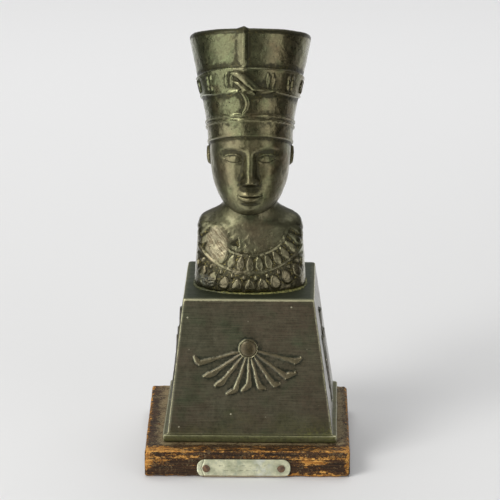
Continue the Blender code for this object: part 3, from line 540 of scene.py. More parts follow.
def bust_finish():
    """Dark olive-brown patina, rubbed lighter on high places, with dirt in the hollows, a painted shade along
    the crown's top rim, painted highlights on the left of the head, crown and keel, and painted shade right of
    the keel and on the shoulders.
    """
    made = Finish("bust patina", Metallic=0.92, IOR=1.5, Coat_Weight=0.1, Coat_Roughness=0.2)
    noise, x, z = made.noise, made.axis("X"), made.axis("Z")
    cavity, solder, worn = made.mark("cavity"), made.mark("solder"), made.mark("worn")
    made.ground(noise(14.0, 3.0).step(0.38, 0.66), (0.150, 0.128, 0.068), (0.165, 0.166, 0.082))
    greener = noise(7.0, 4.0, move=(3.1, 0.4, 7.7)).step(0.5, 0.7)
    made.paint(greener * 0.6, (0.095, 0.128, 0.055))
    neck = z.step(95.0, 92.0) * z.step(78.0, 86.0)
    made.paint(neck * 0.35, (0.090, 0.086, 0.058))
    # Painted highlight: the left of the crown is painted lighter and greener, on the side the left panel
    # lights.
    crown_left_highlight = x.step(3.0, -9.0) * z.step(112.0, 128.0)
    made.paint(crown_left_highlight * 0.5, (0.135, 0.172, 0.085))
    browner = noise(9.0, 5.0, move=(8.3, 5.4, 1.7)).step(0.54, 0.72)
    made.paint(browner * 0.5, (0.150, 0.098, 0.048))
    made.paint(noise(3.4, 6.0, 0.7, move=(6.1, 1.7, 3.2)).step(0.48, 0.66, 0.0, 0.5), (0.060, 0.056, 0.030))
    made.paint(noise(0.8, 4.0, 0.75, move=(1.3, 2.2, 8.1)).step(0.40, 0.62, 0.0, 0.5), (0.070, 0.062, 0.032))
    # Painted highlight: the left side of the head is painted lighter, the side the key light falls on.
    head_left_highlight = x.step(0.0, -8.0) * z.step(126.0, 118.0) * z.step(90.0, 96.0)
    made.paint(head_left_highlight * 0.35, (0.25, 0.225, 0.135))
    made.paint(z.step(88.0, 80.0, 0.0, 0.35), (0.215, 0.190, 0.125))
    rubbed = (noise(1.1, 5.0, 0.7) - cavity).step(0.62, 1.1)
    made.paint(rubbed * z.step(86.0, 80.0, 0.42, 0.85), (0.36, 0.32, 0.18))
    # Painted shade right of the keel, standing in for the dark reflection there, and a painted highlight on the
    # keel's left flank.
    keel_right_shade = x.step(-1.4, 0.0) * x.step(9.0, 5.5) * z.step(133.5, 136.5)
    made.paint(keel_right_shade * 0.55, (0.055, 0.062, 0.030))
    keel_left_highlight = x.step(-6.0, -3.6) * x.step(-0.6, -1.6) * z.step(133.5, 137.5)
    made.paint(keel_left_highlight * 0.3, (0.26, 0.24, 0.14))
    # Painted shade on the shoulders' tops, stronger on the right shoulder, away from the light.
    shoulder_shade = z.step(76.0, 81.0) * z.step(92.0, 87.0) * abs(x).step(8.0, 13.0)
    made.paint(shoulder_shade * x.step(-2.0, 2.0, 0.5, 0.8), (0.062, 0.062, 0.034))
    patchy = noise(2.2, 5.0, 0.7, move=(7.0, 7.0, 2.0)).step(0.32, 0.56, 0.55, 0.9)
    made.paint(worn * patchy, (0.195, 0.172, 0.108))
    # Dark dirt in the hollows, and painted shade along the crown's top rim, which the cavity mark also covers.
    dirt_and_rim_shade = (cavity + noise(1.0, 4.0, 0.7)).step(0.62, 1.05)
    made.paint(dirt_and_rim_shade * 0.85, (0.024, 0.022, 0.010))
    gilt = noise(0.9, 4.0, 0.75, move=(2.0, 9.0, 4.0)).step(0.54, 0.64) * abs(cavity).step(0.15, 0.6)
    made.paint(gilt * z.step(84.0, 80.0, 0.25, 1.0) * 0.6, (0.36, 0.30, 0.10))
    rust = noise(5.0, 4.0, move=(5.5, 2.2, 0.7)).step(0.60, 0.68) * dirt_and_rim_shade
    made.paint(rust * z.step(84.0, 80.0) * x.step(10.0, 14.0) * 0.7, (0.19, 0.085, 0.020))
    pits = made.cells(1.5, (0.3, 5.0, 2.0)).step(0.17, 0.07)
    pits = pits * noise(7.0, 3.0, move=(4.0, 1.0, 3.0)).step(0.46, 0.60) * z.step(118.0, 121.0)
    made.paint(pits * 0.8, (0.03, 0.028, 0.018))
    lumpy = noise(0.9, 5.0, 0.8, move=(0.0, 4.0, 1.0)).step(0.42, 0.60, 0.1, 0.7)
    made.paint(solder * lumpy, (0.120, 0.130, 0.120))
    diagonal = made.scaled(made.place, (1.0, 1.0, 1.0), turn=(0.0, SCRATCH_SLANT, 0.0))
    scratch = made.noise_at(made.scaled(diagonal, (0.12, 0.5, 2.6)), 3.0).step(0.50, 0.60) * worn
    made.paint(scratch * 0.65, (0.10, 0.07, 0.035))
    made.bump(noise(3.2, 3.0), 0.20)
    made.bump(noise(0.9, 4.0, 0.7, move=(1.0, 1.0, 6.0)), 0.05)
    made.bump(noise(0.35, 4.0, 0.7), 0.035)
    made.bump(-pits, 0.15)
    made.bump(-scratch, 0.07)
    gloss = noise(2.2, 6.0, 0.7).step(0.3, 0.7, 0.22, 0.38) + dirt_and_rim_shade * 0.22 + solder * 0.2 + neck * 0.10
    return made.done(gloss + z.step(90.0, 96.0) * z.step(120.0, 114.0) * 0.06)


def pedestal_finish():
    """Dark olive patina with reddish and green clouds, level brush marks and a few light specks."""
    made = Finish("pedestal patina", Metallic=0.6, IOR=1.5, Coat_Weight=0.12, Coat_Roughness=0.3)
    noise, x, z = made.noise, made.axis("X"), made.axis("Z")
    cavity, edge, raised, disc = (made.mark(name) for name in ("cavity", "edge", "raised", "disc"))
    clouds = noise(15.0, 3.0, stretch=(1.0, 1.0, 0.7)).step(0.4, 0.64)
    made.ground(clouds, (0.072, 0.071, 0.040), (0.086, 0.066, 0.040))
    made.paint(x.step(-22.0, 4.0) * z.step(14.0, 24.0) * 0.35, (0.094, 0.060, 0.038))
    made.paint(noise(11.0, 4.0, move=(2.2, 7.1, 4.4)).step(0.5, 0.68) * 0.7, (0.050, 0.072, 0.032))
    uneven = noise(9.0, 5.0, 0.6, stretch=(1.6, 1.6, 1.0), move=(1.0, 6.0, 2.0)).step(0.34, 0.66, 0.0, 9.0)
    made.paint((z + uneven).step(26.0, 14.0) * 0.7, (0.090, 0.086, 0.030))
    made.paint(z.step(12.6, 11.9, 0.0, 0.8), (0.155, 0.160, 0.055))
    in_corner = x.step(12.0, 24.0) * z.step(18.0, 12.0) * noise(1.6, 5.0, 0.7).step(0.48, 0.62)
    made.paint(in_corner * 0.6, (0.20, 0.20, 0.045))
    made.paint(noise(1.0, 5.0, 0.75, move=(4.0, 3.0, 9.0)).step(0.42, 0.62, 0.0, 0.55), (0.034, 0.036, 0.020))
    brushed = noise(0.22, 3.0, 0.6, stretch=(40.0, 40.0, 1.0))
    made.paint(brushed.step(0.35, 0.7, 0.0, 0.6), (0.13, 0.115, 0.07))
    made.paint((-cavity + noise(1.2, 4.0)).step(0.85, 1.35) * 0.6, (0.22, 0.19, 0.10))
    tops = raised * noise(1.0, 4.0, 0.7, move=(2.0, 5.0, 1.0)).step(0.36, 0.6, 0.3, 0.75)
    made.paint(tops, (0.155, 0.128, 0.066))
    # Light colour on rubbed edges, which also gives the painted highlights marked on the rays' left flanks and
    # on the lit side of the disc's rim.
    made.paint((edge + noise(1.8, 6.0, 0.75)).step(1.05, 1.45) * 0.8, (0.50, 0.48, 0.29))
    # Painted shade: the pedestal's top face is painted near black, standing in for the dark reflection it
    # shows, and is made rougher below.
    on_top = z.step(59.9, 60.25)
    made.paint(on_top * 0.85, (0.022, 0.032, 0.014))
    made.paint((cavity + noise(1.1, 3.0)).step(0.64, 1.1) * 0.85, (0.018, 0.022, 0.010))
    made.paint(disc * 0.8, (0.062, 0.048, 0.022))
    tanned = noise(0.7, 4.0, 0.75, move=(7.0, 3.0, 1.0)).step(0.42, 0.6, 0.0, 0.6)
    made.paint(disc * tanned, (0.120, 0.090, 0.040))
    specks = made.cells(4.3, (0.3, 5.0, 2.0)).step(0.085, 0.05) * noise(3.0, 2.0).step(0.5, 0.6)
    made.paint(specks, (0.55, 0.52, 0.36))
    made.bump(noise(5.0, 3.0), 0.12)
    made.bump(brushed, 0.012)
    made.bump(noise(0.4, 3.0, 0.7), 0.014)
    return made.done(noise(4.0, 5.0, 0.65).step(0.3, 0.7, 0.34, 0.48) + on_top * 0.2)


def wood_finish():
    """Black-brown stain, worn through to orange wood at the edges and in streaks along the grain."""
    made = Finish("worn stained wood", Metallic=0.0, IOR=1.45, Specular_IOR_Level=0.15)
    noise = made.noise
    grain = noise(0.5, 5.0, 0.6, stretch=(26.0, 1.3, 1.0))
    grit = noise(0.9, 6.0, 0.8, stretch=(1.7, 1.0, 1.0), move=(3.0, 8.0, 5.0)).step(0.36, 0.64)
    streaks = noise(0.8, 5.0, 0.65, stretch=(12.0, 1.0, 1.0), move=(1.0, 4.0, 2.0)).step(0.34, 0.66)
    patches = noise(4.0, 5.0, 0.6, stretch=(1.8, 1.0, 0.8), move=(6.0, 2.0, 9.0)).step(0.32, 0.68)
    bare = made.blend(grain.step(0.35, 0.65), (0.38, 0.155, 0.030), (0.78, 0.42, 0.11))
    bare = made.blend(noise(1.6, 5.0, 0.75).step(0.46, 0.60, 0.0, 0.8), bare, (0.22, 0.085, 0.020))
    wear = made.mark("edge") * 0.32 + made.mark("rubbed") * 0.50
    for layer, share in ((grit, 0.55), (streaks, 0.35), (patches, 0.3)):
        wear = wear + (layer - 0.5) * share
    worn = wear.step(0.42, 0.50)
    made.ground(grain.step(0.3, 0.7), (0.012, 0.009, 0.007), (0.068, 0.036, 0.018))
    made.paint(wear.step(0.18, 0.42) * 0.6, (0.110, 0.044, 0.015))
    made.paint(worn, bare)
    pores = noise(0.9, 5.0, 0.8, stretch=(2.0, 1.0, 1.0), move=(9.0, 1.0, 5.0)).step(0.54, 0.62)
    made.paint(pores * 0.7, (0.018, 0.011, 0.007))
    drift = noise(0.9, 6.0, 0.85).step(0.40, 0.60, -0.5, 0.5) + noise(5.0, 4.0).step(0.35, 0.65, -0.25, 0.25)
    made.paint((made.mark("dust") + drift).step(0.35, 0.95, 0.0, 0.85), (0.27, 0.21, 0.11))
    made.paint(noise(1.0, 5.0, 0.8, move=(5.0, 0.0, 8.0)).step(0.55, 0.62, 0.0, 0.55), (0.22, 0.15, 0.07))
    made.bump(grain, 0.10)
    made.bump(-worn, 0.10)
    made.bump(noise(0.3, 3.0, 0.7), 0.03)
    return made.done(worn.step(0.0, 1.0, 0.5, 0.75))


def plate_finish():
    """Dull pale metal with a greenish film, dirt in its strokes and at its edges."""
    made = Finish("dull plate", Metallic=0.55, IOR=1.5)
    noise, x = made.noise, made.axis("X")
    made.ground(noise(3.5, 5.0, 0.6).step(0.35, 0.65), (0.44, 0.45, 0.30), (0.68, 0.67, 0.47))
    made.paint(noise(2.2, 4.0, move=(3.0, 1.0, 6.0)).step(0.5, 0.7) * 0.5, (0.30, 0.35, 0.27))
    dots = made.cells(0.45).step(0.26, 0.14) * noise(2.0, 3.0, move=(0.0, 2.0, 5.0)).step(0.45, 0.6)
    made.paint(dots * 0.5, (0.20, 0.21, 0.14))
    made.paint((made.mark("cavity") + noise(0.8, 3.0)).step(0.6, 1.1) * 0.6, (0.15, 0.16, 0.10))
    patch = x.step(1.0, 4.5) * x.step(10.0, 6.0) * noise(2.6, 4.0, move=(5.0, 5.0, 1.0)).step(0.4, 0.6)
    made.paint(patch * 0.6, (0.66, 0.68, 0.62))
    height = made.axis("Z") + noise(1.5, 3.0) * 0.5
    made.paint(height.step(1.25, 0.8, 0.0, 0.8), (0.17, 0.11, 0.06))
    made.bump(noise(2.0, 4.0), 0.08)
    made.bump(noise(0.25, 3.0, 0.7), 0.02)
    return made.done(noise(1.2, 4.0).step(0.3, 0.7, 0.42, 0.62))


def nail_finish():
    """Dark brown steel with rust."""
    made = Finish("rusted nail", Metallic=0.45, IOR=1.5)
    rust = made.noise(0.55, 5.0, 0.7).step(0.38, 0.62)
    made.ground(rust, (0.085, 0.055, 0.038), (0.20, 0.11, 0.055))
    bright = made.noise(0.3, 3.0, 0.6, move=(2.0, 7.0, 1.0)).step(0.62, 0.72)
    made.paint(bright * 0.6, (0.42, 0.35, 0.26))
    made.bump(made.noise(0.35, 4.0, 0.7), 0.10)
    return made.done(rust.step(0.0, 1.0, 0.45, 0.75))


def seam_finish():
    """Yellow-green dried glue and dirt."""
    made = Finish("seam", Metallic=0.0, IOR=1.45)
    clouds = made.noise(1.1, 4.0).step(0.4, 0.62)
    made.ground(clouds, (0.075, 0.078, 0.022), (0.24, 0.23, 0.07))
    darker = (made.axis("X") + made.noise(3.0, 4.0) * 10.0).step(2.0, -8.0)
    made.paint(darker * 0.8, (0.030, 0.034, 0.014))
    made.bump(made.noise(0.4, 4.0, 0.7), 0.06)
    return made.done(clouds.step(0.0, 1.0, 0.6, 0.45))


def sections_at(place):
    """The section table at fractional rows, through a Catmull-Rom curve in each column."""
    table = np.array(SECTIONS)
    first = np.clip(np.floor(place).astype(int), 0, len(table) - 2)
    share = (place - first)[:, None]
    before = table[np.maximum(first - 1, 0)]
    start = table[first]
    end = table[first + 1]
    after = table[np.minimum(first + 2, len(table) - 1)]
    return 0.5 * (
        2 * start
        + (end - before) * share
        + (2 * before - 5 * start + 4 * end - after) * share**2
        + (3 * start - before - 3 * end + after) * share**3
    )


def rows_up_the_bust(count):
    """Fractional section rows, spaced along the front and side outlines and closer where carving is fine."""
    fine = np.linspace(0, len(SECTIONS) - 1, 4000)
    height, centre_y, tilt, half_width, front = sections_at(fine).T[:5]
    tilt = np.radians(tilt)
    front_line = np.column_stack([centre_y - front * np.cos(tilt), height + front * np.sin(tilt)])
    side_line = np.column_stack([half_width, height])
    steps = np.linalg.norm(np.diff(front_line, axis=0), axis=1)
    steps += 0.5 * np.linalg.norm(np.diff(side_line, axis=0), axis=1)
    for low, high, closer in CLOSER_ROWS:
        steps[(height[1:] > low) & (height[1:] <= high)] *= closer
    travelled = np.concatenate([[0.0], np.cumsum(steps)])
    return np.interp(np.linspace(0, travelled[-1], count), travelled, fine)


def columns_round_the_bust(count):
    """Angles about the section centre, 0 at the front, closer together there."""
    even = np.linspace(-1.0, 1.0, count, endpoint=False)
    return math.pi * (0.6 * even + 0.4 * even**3)


def plain_surface(place, angle):
    """The bust without its carving: x, y, z for each row and each angle."""
    columns = [column[:, None] for column in sections_at(place).T]
    height, centre_y, tilt, half_width, front, back, squareness, cut = columns
    sine, cosine = np.sin(angle)[None, :], np.cos(angle)[None, :]
    depth = np.where(cosine > 0, front, back)
    curve = (np.abs(sine) / half_width) ** squareness + (np.abs(cosine) / depth) ** squareness
    radius = curve ** (-1.0 / squareness)
    flat = cut / np.maximum(np.abs(sine), 1e-6)
    radius = (radius**-CUT_SHARPNESS + flat**-CUT_SHARPNESS) ** (-1.0 / CUT_SHARPNESS)
    forward = radius * cosine
    tilt = np.radians(tilt)
    return np.stack(
        [radius * sine, centre_y - forward * np.cos(tilt), height + forward * np.sin(tilt)], axis=-1
    )


def nose(x, z):
    """Rise of the nose: bridge, tip and wings."""
    tip = NOSE_BASE + 2.0
    root = BROW_LINE - 1.0
    down = np.clip((root - z) / (root - tip), 0.0, 1.0)
    rise = (0.7 + 2.9 * down**1.2) * smoothstep(NOSE_BASE - 1.0, tip, z)
    rise = rise * (1.0 - smoothstep(root - 2.5, root + 3.5, z))
    width = 1.7 + 0.6 * down
    bridge = rise * np.exp(-np.abs(x / width) ** 2.6)
    ball = 0.6 * hill(x, z, 0.0, NOSE_BASE + 2.0, 1.9, 1.6)
    return bridge + ball + 1.35 * hill(np.abs(x), z, 2.15, NOSE_BASE + 1.2, 1.05, 1.2)


def mouth(x, z):
    """Rise of two closed lips on their mound."""
    across = np.abs(x) / MOUTH_HALF_WIDTH
    inside = np.clip(1.0 - across**2, 0.0, 1.0)
    bow = 0.85 - 0.35 * across**2 - 0.2 * ridge(x, 0.9)
    upper = 0.7 * ridge(z - (MOUTH_LINE + bow), 0.8) * inside**0.7
    lower = 0.9 * ridge(z - (MOUTH_LINE - 1.05 + 0.5 * across**2), 0.95) * inside**0.8
    line = 0.55 * ridge(z - MOUTH_LINE - 0.15 * across**2, 0.3) * smoothstep(1.2, 0.7, across)
    mound = 1.3 * hill(x, z, 0.0, MOUTH_LINE, 6.2, 4.4)
    philtrum = 0.2 * hill(x, z, 0.0, MOUTH_LINE + 2.7, 0.7, 0.9)
    return mound + upper + lower - line - philtrum


def eye_opening(x, z):
    """How far above or below the lids' edge a place lies, and the eye's share of height there."""
    across = (np.abs(x) - EYE_X) / EYE_HALF_WIDTH
    share = np.clip(1.0 - across**2, 0.0, 1.0)
    up = z - EYE_LINE
    return np.abs(up) - np.where(up > 0, 1.55, 1.05) * share**0.8, share


def eye_lines(x, z):
    """1 along the edges of the lids, and less along the crease above them, where dirt gathers."""
    side = np.abs(x)
    beyond, share = eye_opening(x, z)
    lids = ridge(beyond + 0.05, 0.22) * smoothstep(0.0, 0.2, share)
    crease = 0.7 * ridge(beyond - 1.15, 0.3) * smoothstep(0.2, 0.6, share) * (z > EYE_LINE)
    return np.maximum(lids, crease) * smoothstep(11.6, 9.6, side)


def eyes(x, z):
    """Rise of eyeballs, lids, painted corners and brows in their sockets."""
    side = np.abs(x)
    up = z - EYE_LINE
    beyond, share = eye_opening(x, z)
    ball = 1.15 * hill(side, z, EYE_X, EYE_LINE, 3.4, 2.2)
    lid = 0.28 * smoothstep(-0.12, 0.12, beyond) * smoothstep(1.0, 0.1, beyond)
    lid = lid * smoothstep(-0.02, 0.3, share)
    iris = 0.1 * smoothstep(1.3, 1.1, np.hypot(side - EYE_X, up - 0.25)) * (beyond < 0)
    paint = 0.3 * ridge(up + 0.1, 0.45) * smoothstep(8.9, 9.7, side) * smoothstep(12.2, 11.2, side)
    socket = 1.5 * hill(side, z, 6.1, EYE_LINE + 0.8, 4.6, 3.0)
    socket = socket + 0.6 * hill(side, z, 2.9, EYE_LINE + 0.4, 1.5, 2.2)
    brow_height = BROW_LINE + 0.4 + 1.1 * (1.0 - ((side - 6.2) / 4.8) ** 2)
    brow = 0.4 * ridge(z - brow_height, 0.65)
    brow = brow * smoothstep(0.8, 4.2, side) * smoothstep(11.6, 9.6, side)
    return ball + lid + iris + paint + brow - socket


def face(x, z):
    """How far the face stands forward of the plain head."""
    side = np.abs(x)
    cheeks = 0.9 * hill(side, z, 7.4, EYE_LINE - 5.6, 4.0, 4.2)
    chin = 1.3 * hill(x, z, 0.0, CHIN + 3.5, 4.2, 2.9)
    under_lip = 0.5 * hill(x, z, 0.0, MOUTH_LINE - 3.1, 3.2, 1.1)
    return nose(x, z) + mouth(x, z) + eyes(x, z) + cheeks + chin - under_lip


def ears(y, z):
    """How far the ears stand out sideways."""
    up = z - EAR_HEIGHT
    out = ((y - EAR_Y - 0.16 * up) / 2.5) ** 2 + (up / EAR_HALF_HEIGHT) ** 2
    shell = 1.3 * smoothstep(1.35, 0.65, out)
    hollow = 0.7 * smoothstep(0.55, 0.2, out) * smoothstep(-2.8, -1.4, up)
    return shell - hollow


def crown_edge_height(angle):
    """Height of the crown's lower edge: high over the forehead, lower at the sides and lowest at the nape."""
    drop = NAPE_DROP * smoothstep(math.radians(100.0), math.radians(140.0), np.abs(angle))
    return CROWN_EDGE - CROWN_SIDE_DROP * (1.0 - np.cos(angle)) - drop


def strand(x, z, points):
    """Rise of a rounded strand through points of x, z and half width."""
    path = [(px, pz) for px, pz, half in points]
    distance, passed = along_path(x, z, path)[:2]
    half = np.interp(passed, np.linspace(0.0, 1.0, len(points)), [half for px, pz, half in points])
    return np.sqrt(np.clip(1.0 - (distance / half) ** 2, 0.0, 1.0)) * (0.55 + 0.45 * half)


def crown(x, z, height, angle):
    """Rise of the crown's edge, cords, ribbon, plaques, keel and serpent."""
    above = z - crown_edge_height(angle)
    over_brow = smoothstep(math.radians(112.0), math.radians(96.0), np.abs(angle))
    rise = CROWN_THICKNESS * smoothstep(-0.35, 0.35, above) + 0.3 * over_brow * ridge(above - 0.7, 0.5)
    for cord in CORD_HEIGHTS:
        rise = rise + 0.55 * over_brow * ridge(above - cord, 0.38)
    drop = RIBBON_SIDE_DROP * (1.0 - np.cos(angle))
    sway = RIBBON_SWAY * np.sin(4.0 * angle + 0.6)
    low, high = height - RIBBON_LOW + drop - sway, height - RIBBON_HIGH + drop + 0.6 * sway
    rise = rise + RIBBON_RISE * smoothstep(-0.3, 0.3, low) * smoothstep(0.3, -0.3, high)
    rise = rise + 0.3 * (ridge(low - 0.4, 0.4) + ridge(high + 0.4, 0.4))
    middle = 0.5 * (low + high)
    for plaque in PLAQUE_ANGLES:
        sideways = (np.degrees(np.abs(angle)) - plaque) / 1.9
        rise = rise + 0.45 * smoothstep(1.2, 0.6, sideways**2 + (middle / 2.3) ** 2)
    flank = np.where(x < KEEL_X, KEEL_LEFT, KEEL_RIGHT)
    keel = KEEL_RISE * np.clip(1.0 - np.hypot(x - KEEL_X, 0.15) / flank, 0.0, 1.0) ** 1.2
    keel = keel * (1.0 - 0.3 * smoothstep(89.6, 91.0, height))
    keel = keel * smoothstep(RIBBON_HIGH - 3.0, RIBBON_HIGH + 3.0, height)
    serpent = np.maximum(strand(x, z, SERPENT_BODY), strand(x, z, SERPENT_NECK))
    serpent = SERPENT_RISE * np.maximum(serpent, strand(x, z, SERPENT_TAIL))
    return rise + np.where(np.cos(angle) > 0.2, keel + serpent, 0.0)


def petal(across, along, half_width, half_length):
    """A rounded drop, wider at its outer end."""
    width = half_width * (1.0 + 0.2 * along / half_length)
    inside = 1.0 - (across / width) ** 2 - (along / half_length) ** 2
    return smoothstep(0.0, 0.34, inside) * (0.84 + 0.16 * np.clip(inside, 0.0, 1.0))


def collar(x, y, z):
    """Two cords, two rows of petals and a row of beads, spread round the neck."""
    out_y, out_z = y - COLLAR_CENTRE[1], z - COLLAR_CENTRE[2]
    distance = np.sqrt(x**2 + out_y**2 + out_z**2)
    facing = -out_y * math.sin(COLLAR_FACING) - out_z * math.cos(COLLAR_FACING)
    turn = np.arctan2(x, facing) * COLLAR_PETALS / (2 * math.pi)
    index = np.round(turn)
    uneven = np.sin(index * 12.9) * 0.12
    swing = (turn - index + 0.5 * uneven) / COLLAR_PETALS * 2 * math.pi
    inner = INNER_PETALS + 1.5 * uneven
    outer = OUTER_PETALS - 2.0 * uneven
    drops = (0.5 + uneven) * petal(swing * inner, distance - inner, 1.4, 2.45)
    drops = drops + (0.62 - uneven) * petal(swing * outer, distance - outer, 1.95, 2.25 + uneven)
    half_turn = (turn - np.floor(turn) - 0.5) / COLLAR_PETALS * 2 * math.pi
    bead = ((half_turn * BEADS) ** 2 + (distance - BEADS) ** 2) / BEAD_RADIUS**2
    drops = drops + 0.6 * np.sqrt(np.clip(1.0 - bead, 0.0, 1.0))
    rise = 0.42 * ridge(distance - INNER_CORD, 0.4) + 0.5 * ridge(distance - OUTER_CORD, 0.42)
    rise = rise + drops * smoothstep(COLLAR_BACK, COLLAR_BACK - 2.5, y)
    on_top = smoothstep(COLLAR_SIDE_LIMIT + 0.8, COLLAR_SIDE_LIMIT, np.abs(x))
    below_neck = smoothstep(COLLAR_TOP + 0.8, COLLAR_TOP - 2.4, z) * smoothstep(0.6, 1.6, z)
    return rise * on_top * below_neck * smoothstep(13.4, 14.2, distance)


def inside_reach(x, z, centre, reach):
    """1 in the middle of an oval, falling to 0 over its rim."""
    out = ((x - centre[0]) / reach[0]) ** 2 + ((z - centre[1]) / reach[1]) ** 2
    return smoothstep(1.4, 0.6, out)


def inside_corners(x, z, corners):
    """1 well inside the shape with these corners, given clockwise, falling to 0 at its edges."""
    inside = np.full(x.shape, np.inf)
    for (ax, az), (bx, bz) in zip(corners, corners[1:] + corners[:1]):
        across = ((x - ax) * (bz - az) - (z - az) * (bx - ax)) / math.hypot(bx - ax, bz - az)
        inside = np.minimum(inside, across)
    return smoothstep(-0.1, 0.25, inside)


def worn_collar(plain, height):
    """Rise of the collar with its damage, and the marks for worn metal and solder."""
    x, y, z = np.moveaxis(plain, -1, 0)
    in_front = (y < 2.0) & (height < COLLAR_LIMIT)
    worn = in_front * inside_reach(x, z, WORN_CENTRE, WORN_REACH)
    solder = in_front * inside_reach(x, z, LUMP_CENTRE, LUMP_REACH)
    chip = in_front * inside_corners(x, z, CHIP)
    rise = collar(x, y, z) * (height < COLLAR_LIMIT)
    rise = rise * (1.0 - 0.85 * worn) + 0.3 * worn
    rise = rise - CHIP_DEPTH * chip * smoothstep(CHIP[0][0], CHIP[2][0], x)
    block_x, block_z = x - SHOULDER_BLOCK[0], z - SHOULDER_BLOCK[1]
    block = np.abs(0.85 * block_x + 0.5 * block_z) / 1.4
    block = np.maximum(block, np.abs(0.85 * block_z - 0.5 * block_x) / 0.7)
    rise = rise + in_front * 0.45 * smoothstep(1.15, 0.85, block)
    lumps = np.abs(rough_noise(plain, 1.0, 5))
    rise = rise * (1.0 - 0.8 * solder) + solder * (0.3 + 0.45 * lumps)
    return rise, worn, solder


def bust_surface():
    """The bust's surface in its own hundredths, with marks for worn metal, solder and cavity, where the cavity
    mark also carries a painted shade along the crown's top rim.
    """
    place = rows_up_the_bust(BUST_ROWS)
    angle = columns_round_the_bust(BUST_COLUMNS)
    plain = plain_surface(place, angle)
    x, y, z = np.moveaxis(plain, -1, 0)
    height = sections_at(place)[:, :1]
    angle = np.broadcast_to(angle[None, :], x.shape)
    on_head = smoothstep(33.5, 35.5, height) * smoothstep(0.3, -0.3, z - crown_edge_height(angle))
    rise = crown(x, z, height, angle) * smoothstep(36.0, 38.0, height)
    necklace, worn, solder = worn_collar(plain, height)
    grainy = (0.035 + 0.045 * (height < 22.0)) * (1.0 - worn)
    rise = rise + necklace + 0.10 * rough_noise(plain, 6.0, 1) + grainy * rough_noise(plain, 1.2, 2)
    surface = plain + rise[..., None] * outward(plain)
    forward = face(x, z) * on_head * smoothstep(0.05, 0.5, np.cos(angle))
    sideways = ears(y, z) * on_head * smoothstep(9.0, 12.0, np.abs(x))
    surface[..., 1] -= forward
    surface[..., 0] += sideways * np.sign(x)
    # The rows at the crown's top rim are marked as cavity too: a painted shade, standing in for the dark
    # reflection along the rim.
    cavity = np.maximum(cavity_of(rise + forward + sideways, 5), smoothstep(89.7, 90.4, height))
    cavity = np.maximum(cavity, 0.75 * eye_lines(x, z) * on_head * (np.cos(angle) > 0.3))
    return surface, {"cavity": cavity, "worn": worn, "solder": solder}


def make_bust():
    """The bust, scaled to its size and stood on its place."""
    surface, marks = bust_surface()
    surface = surface * BUST_UNIT
    surface[..., 2] -= surface[..., 2].min()
    surface = surface + np.array([BUST_X, BUST_Y, BUST_FOOT_Z])
    mesh = closed_mesh("bust_casting", surface, marks)
    add_piece("bust_casting", mesh, bust_finish(), "bust")


def make_seam():
    """An uneven bead of glue and dirt where the bust stands on the pedestal."""
    outline = plain_surface(np.array([0.5]), np.linspace(-math.pi, math.pi, 360, endpoint=False))[0]
    centre = outline * BUST_UNIT + np.array([BUST_X, BUST_Y, 0.0])
    centre[:, 2] = PEDESTAL_TOP_Z
    ahead = np.roll(centre, -1, axis=0) - np.roll(centre, 1, axis=0)
    across = np.column_stack([ahead[:, 1], -ahead[:, 0], np.zeros(len(ahead))])
    across /= np.linalg.norm(across, axis=1, keepdims=True)
    size = 0.6 + 0.3 * rough_noise(centre, 4.0, 31) + 0.16 * rough_noise(centre, 1.2, 37)
    centre = centre + 0.3 * across
    rings = []
    for turn in np.linspace(0.0, 2 * math.pi, 10, endpoint=False):
        out = across * (math.cos(turn) * SEAM_REACH[0]) + np.array([0.0, 0.0, math.sin(turn) * SEAM_REACH[1]])
        rings.append(centre + out * np.clip(size, 0.4, 1.2)[:, None])
    ring = np.stack(rings, axis=1)
    count, sides = ring.shape[:2]
    faces = []
    for i in range(count):
        for j in range(sides):
            a, b = i * sides, (i + 1) % count * sides
            faces.append((a + j, b + j, b + (j + 1) % sides, a + (j + 1) % sides))
    add_piece("seam", mesh_of("seam", ring.reshape(-1, 3), faces, {}), seam_finish())


def sun_relief(x, up):
    """Rise of the sun disc and its rays at x across and up along the pedestal's front, from the disc's
    centre."""
    spots = np.stack([x, up, 0.0 * x], axis=-1)
    ragged = 0.14 * rough_noise(spots, 1.6, 51)
    out = np.hypot(x, up)
    rise = np.zeros(x.shape)
    for angle, length, foot_angle, foot_length in RAYS:
        along, foot = heading(angle), heading(foot_angle)
        bend = along * length
        path = [along * RAY_START, bend * 0.5, bend * 0.82, bend + 0.12 * foot, bend + foot * foot_length]
        distance, passed, aside = along_path(x, up, [tuple(point) for point in path])
        half = RAY_HALF_WIDTH * np.interp(passed, (0.0, 0.4, 0.7, 0.85, 1.0), (0.38, 0.62, 1.0, 1.0, 0.55))
        half = half + ragged
        flank = np.where(aside < 0, LEFT_FLANK, RIGHT_FLANK)
        bar = RAY_RISE * smoothstep(0.12, -flank, distance - half) * (0.7 + 0.3 * passed)
        rise = np.maximum(rise, bar)
    dome = 1.05 * np.sqrt(np.clip(1.0 - (out / (0.9 * DISC_RADIUS)) ** 2, 0.0, 1.0)) ** 0.8
    rim = 0.6 * ridge(out - 0.98 * DISC_RADIUS, 0.24)
    return np.maximum(rise * (out > 0.9 * DISC_RADIUS), np.maximum(dome, rim))


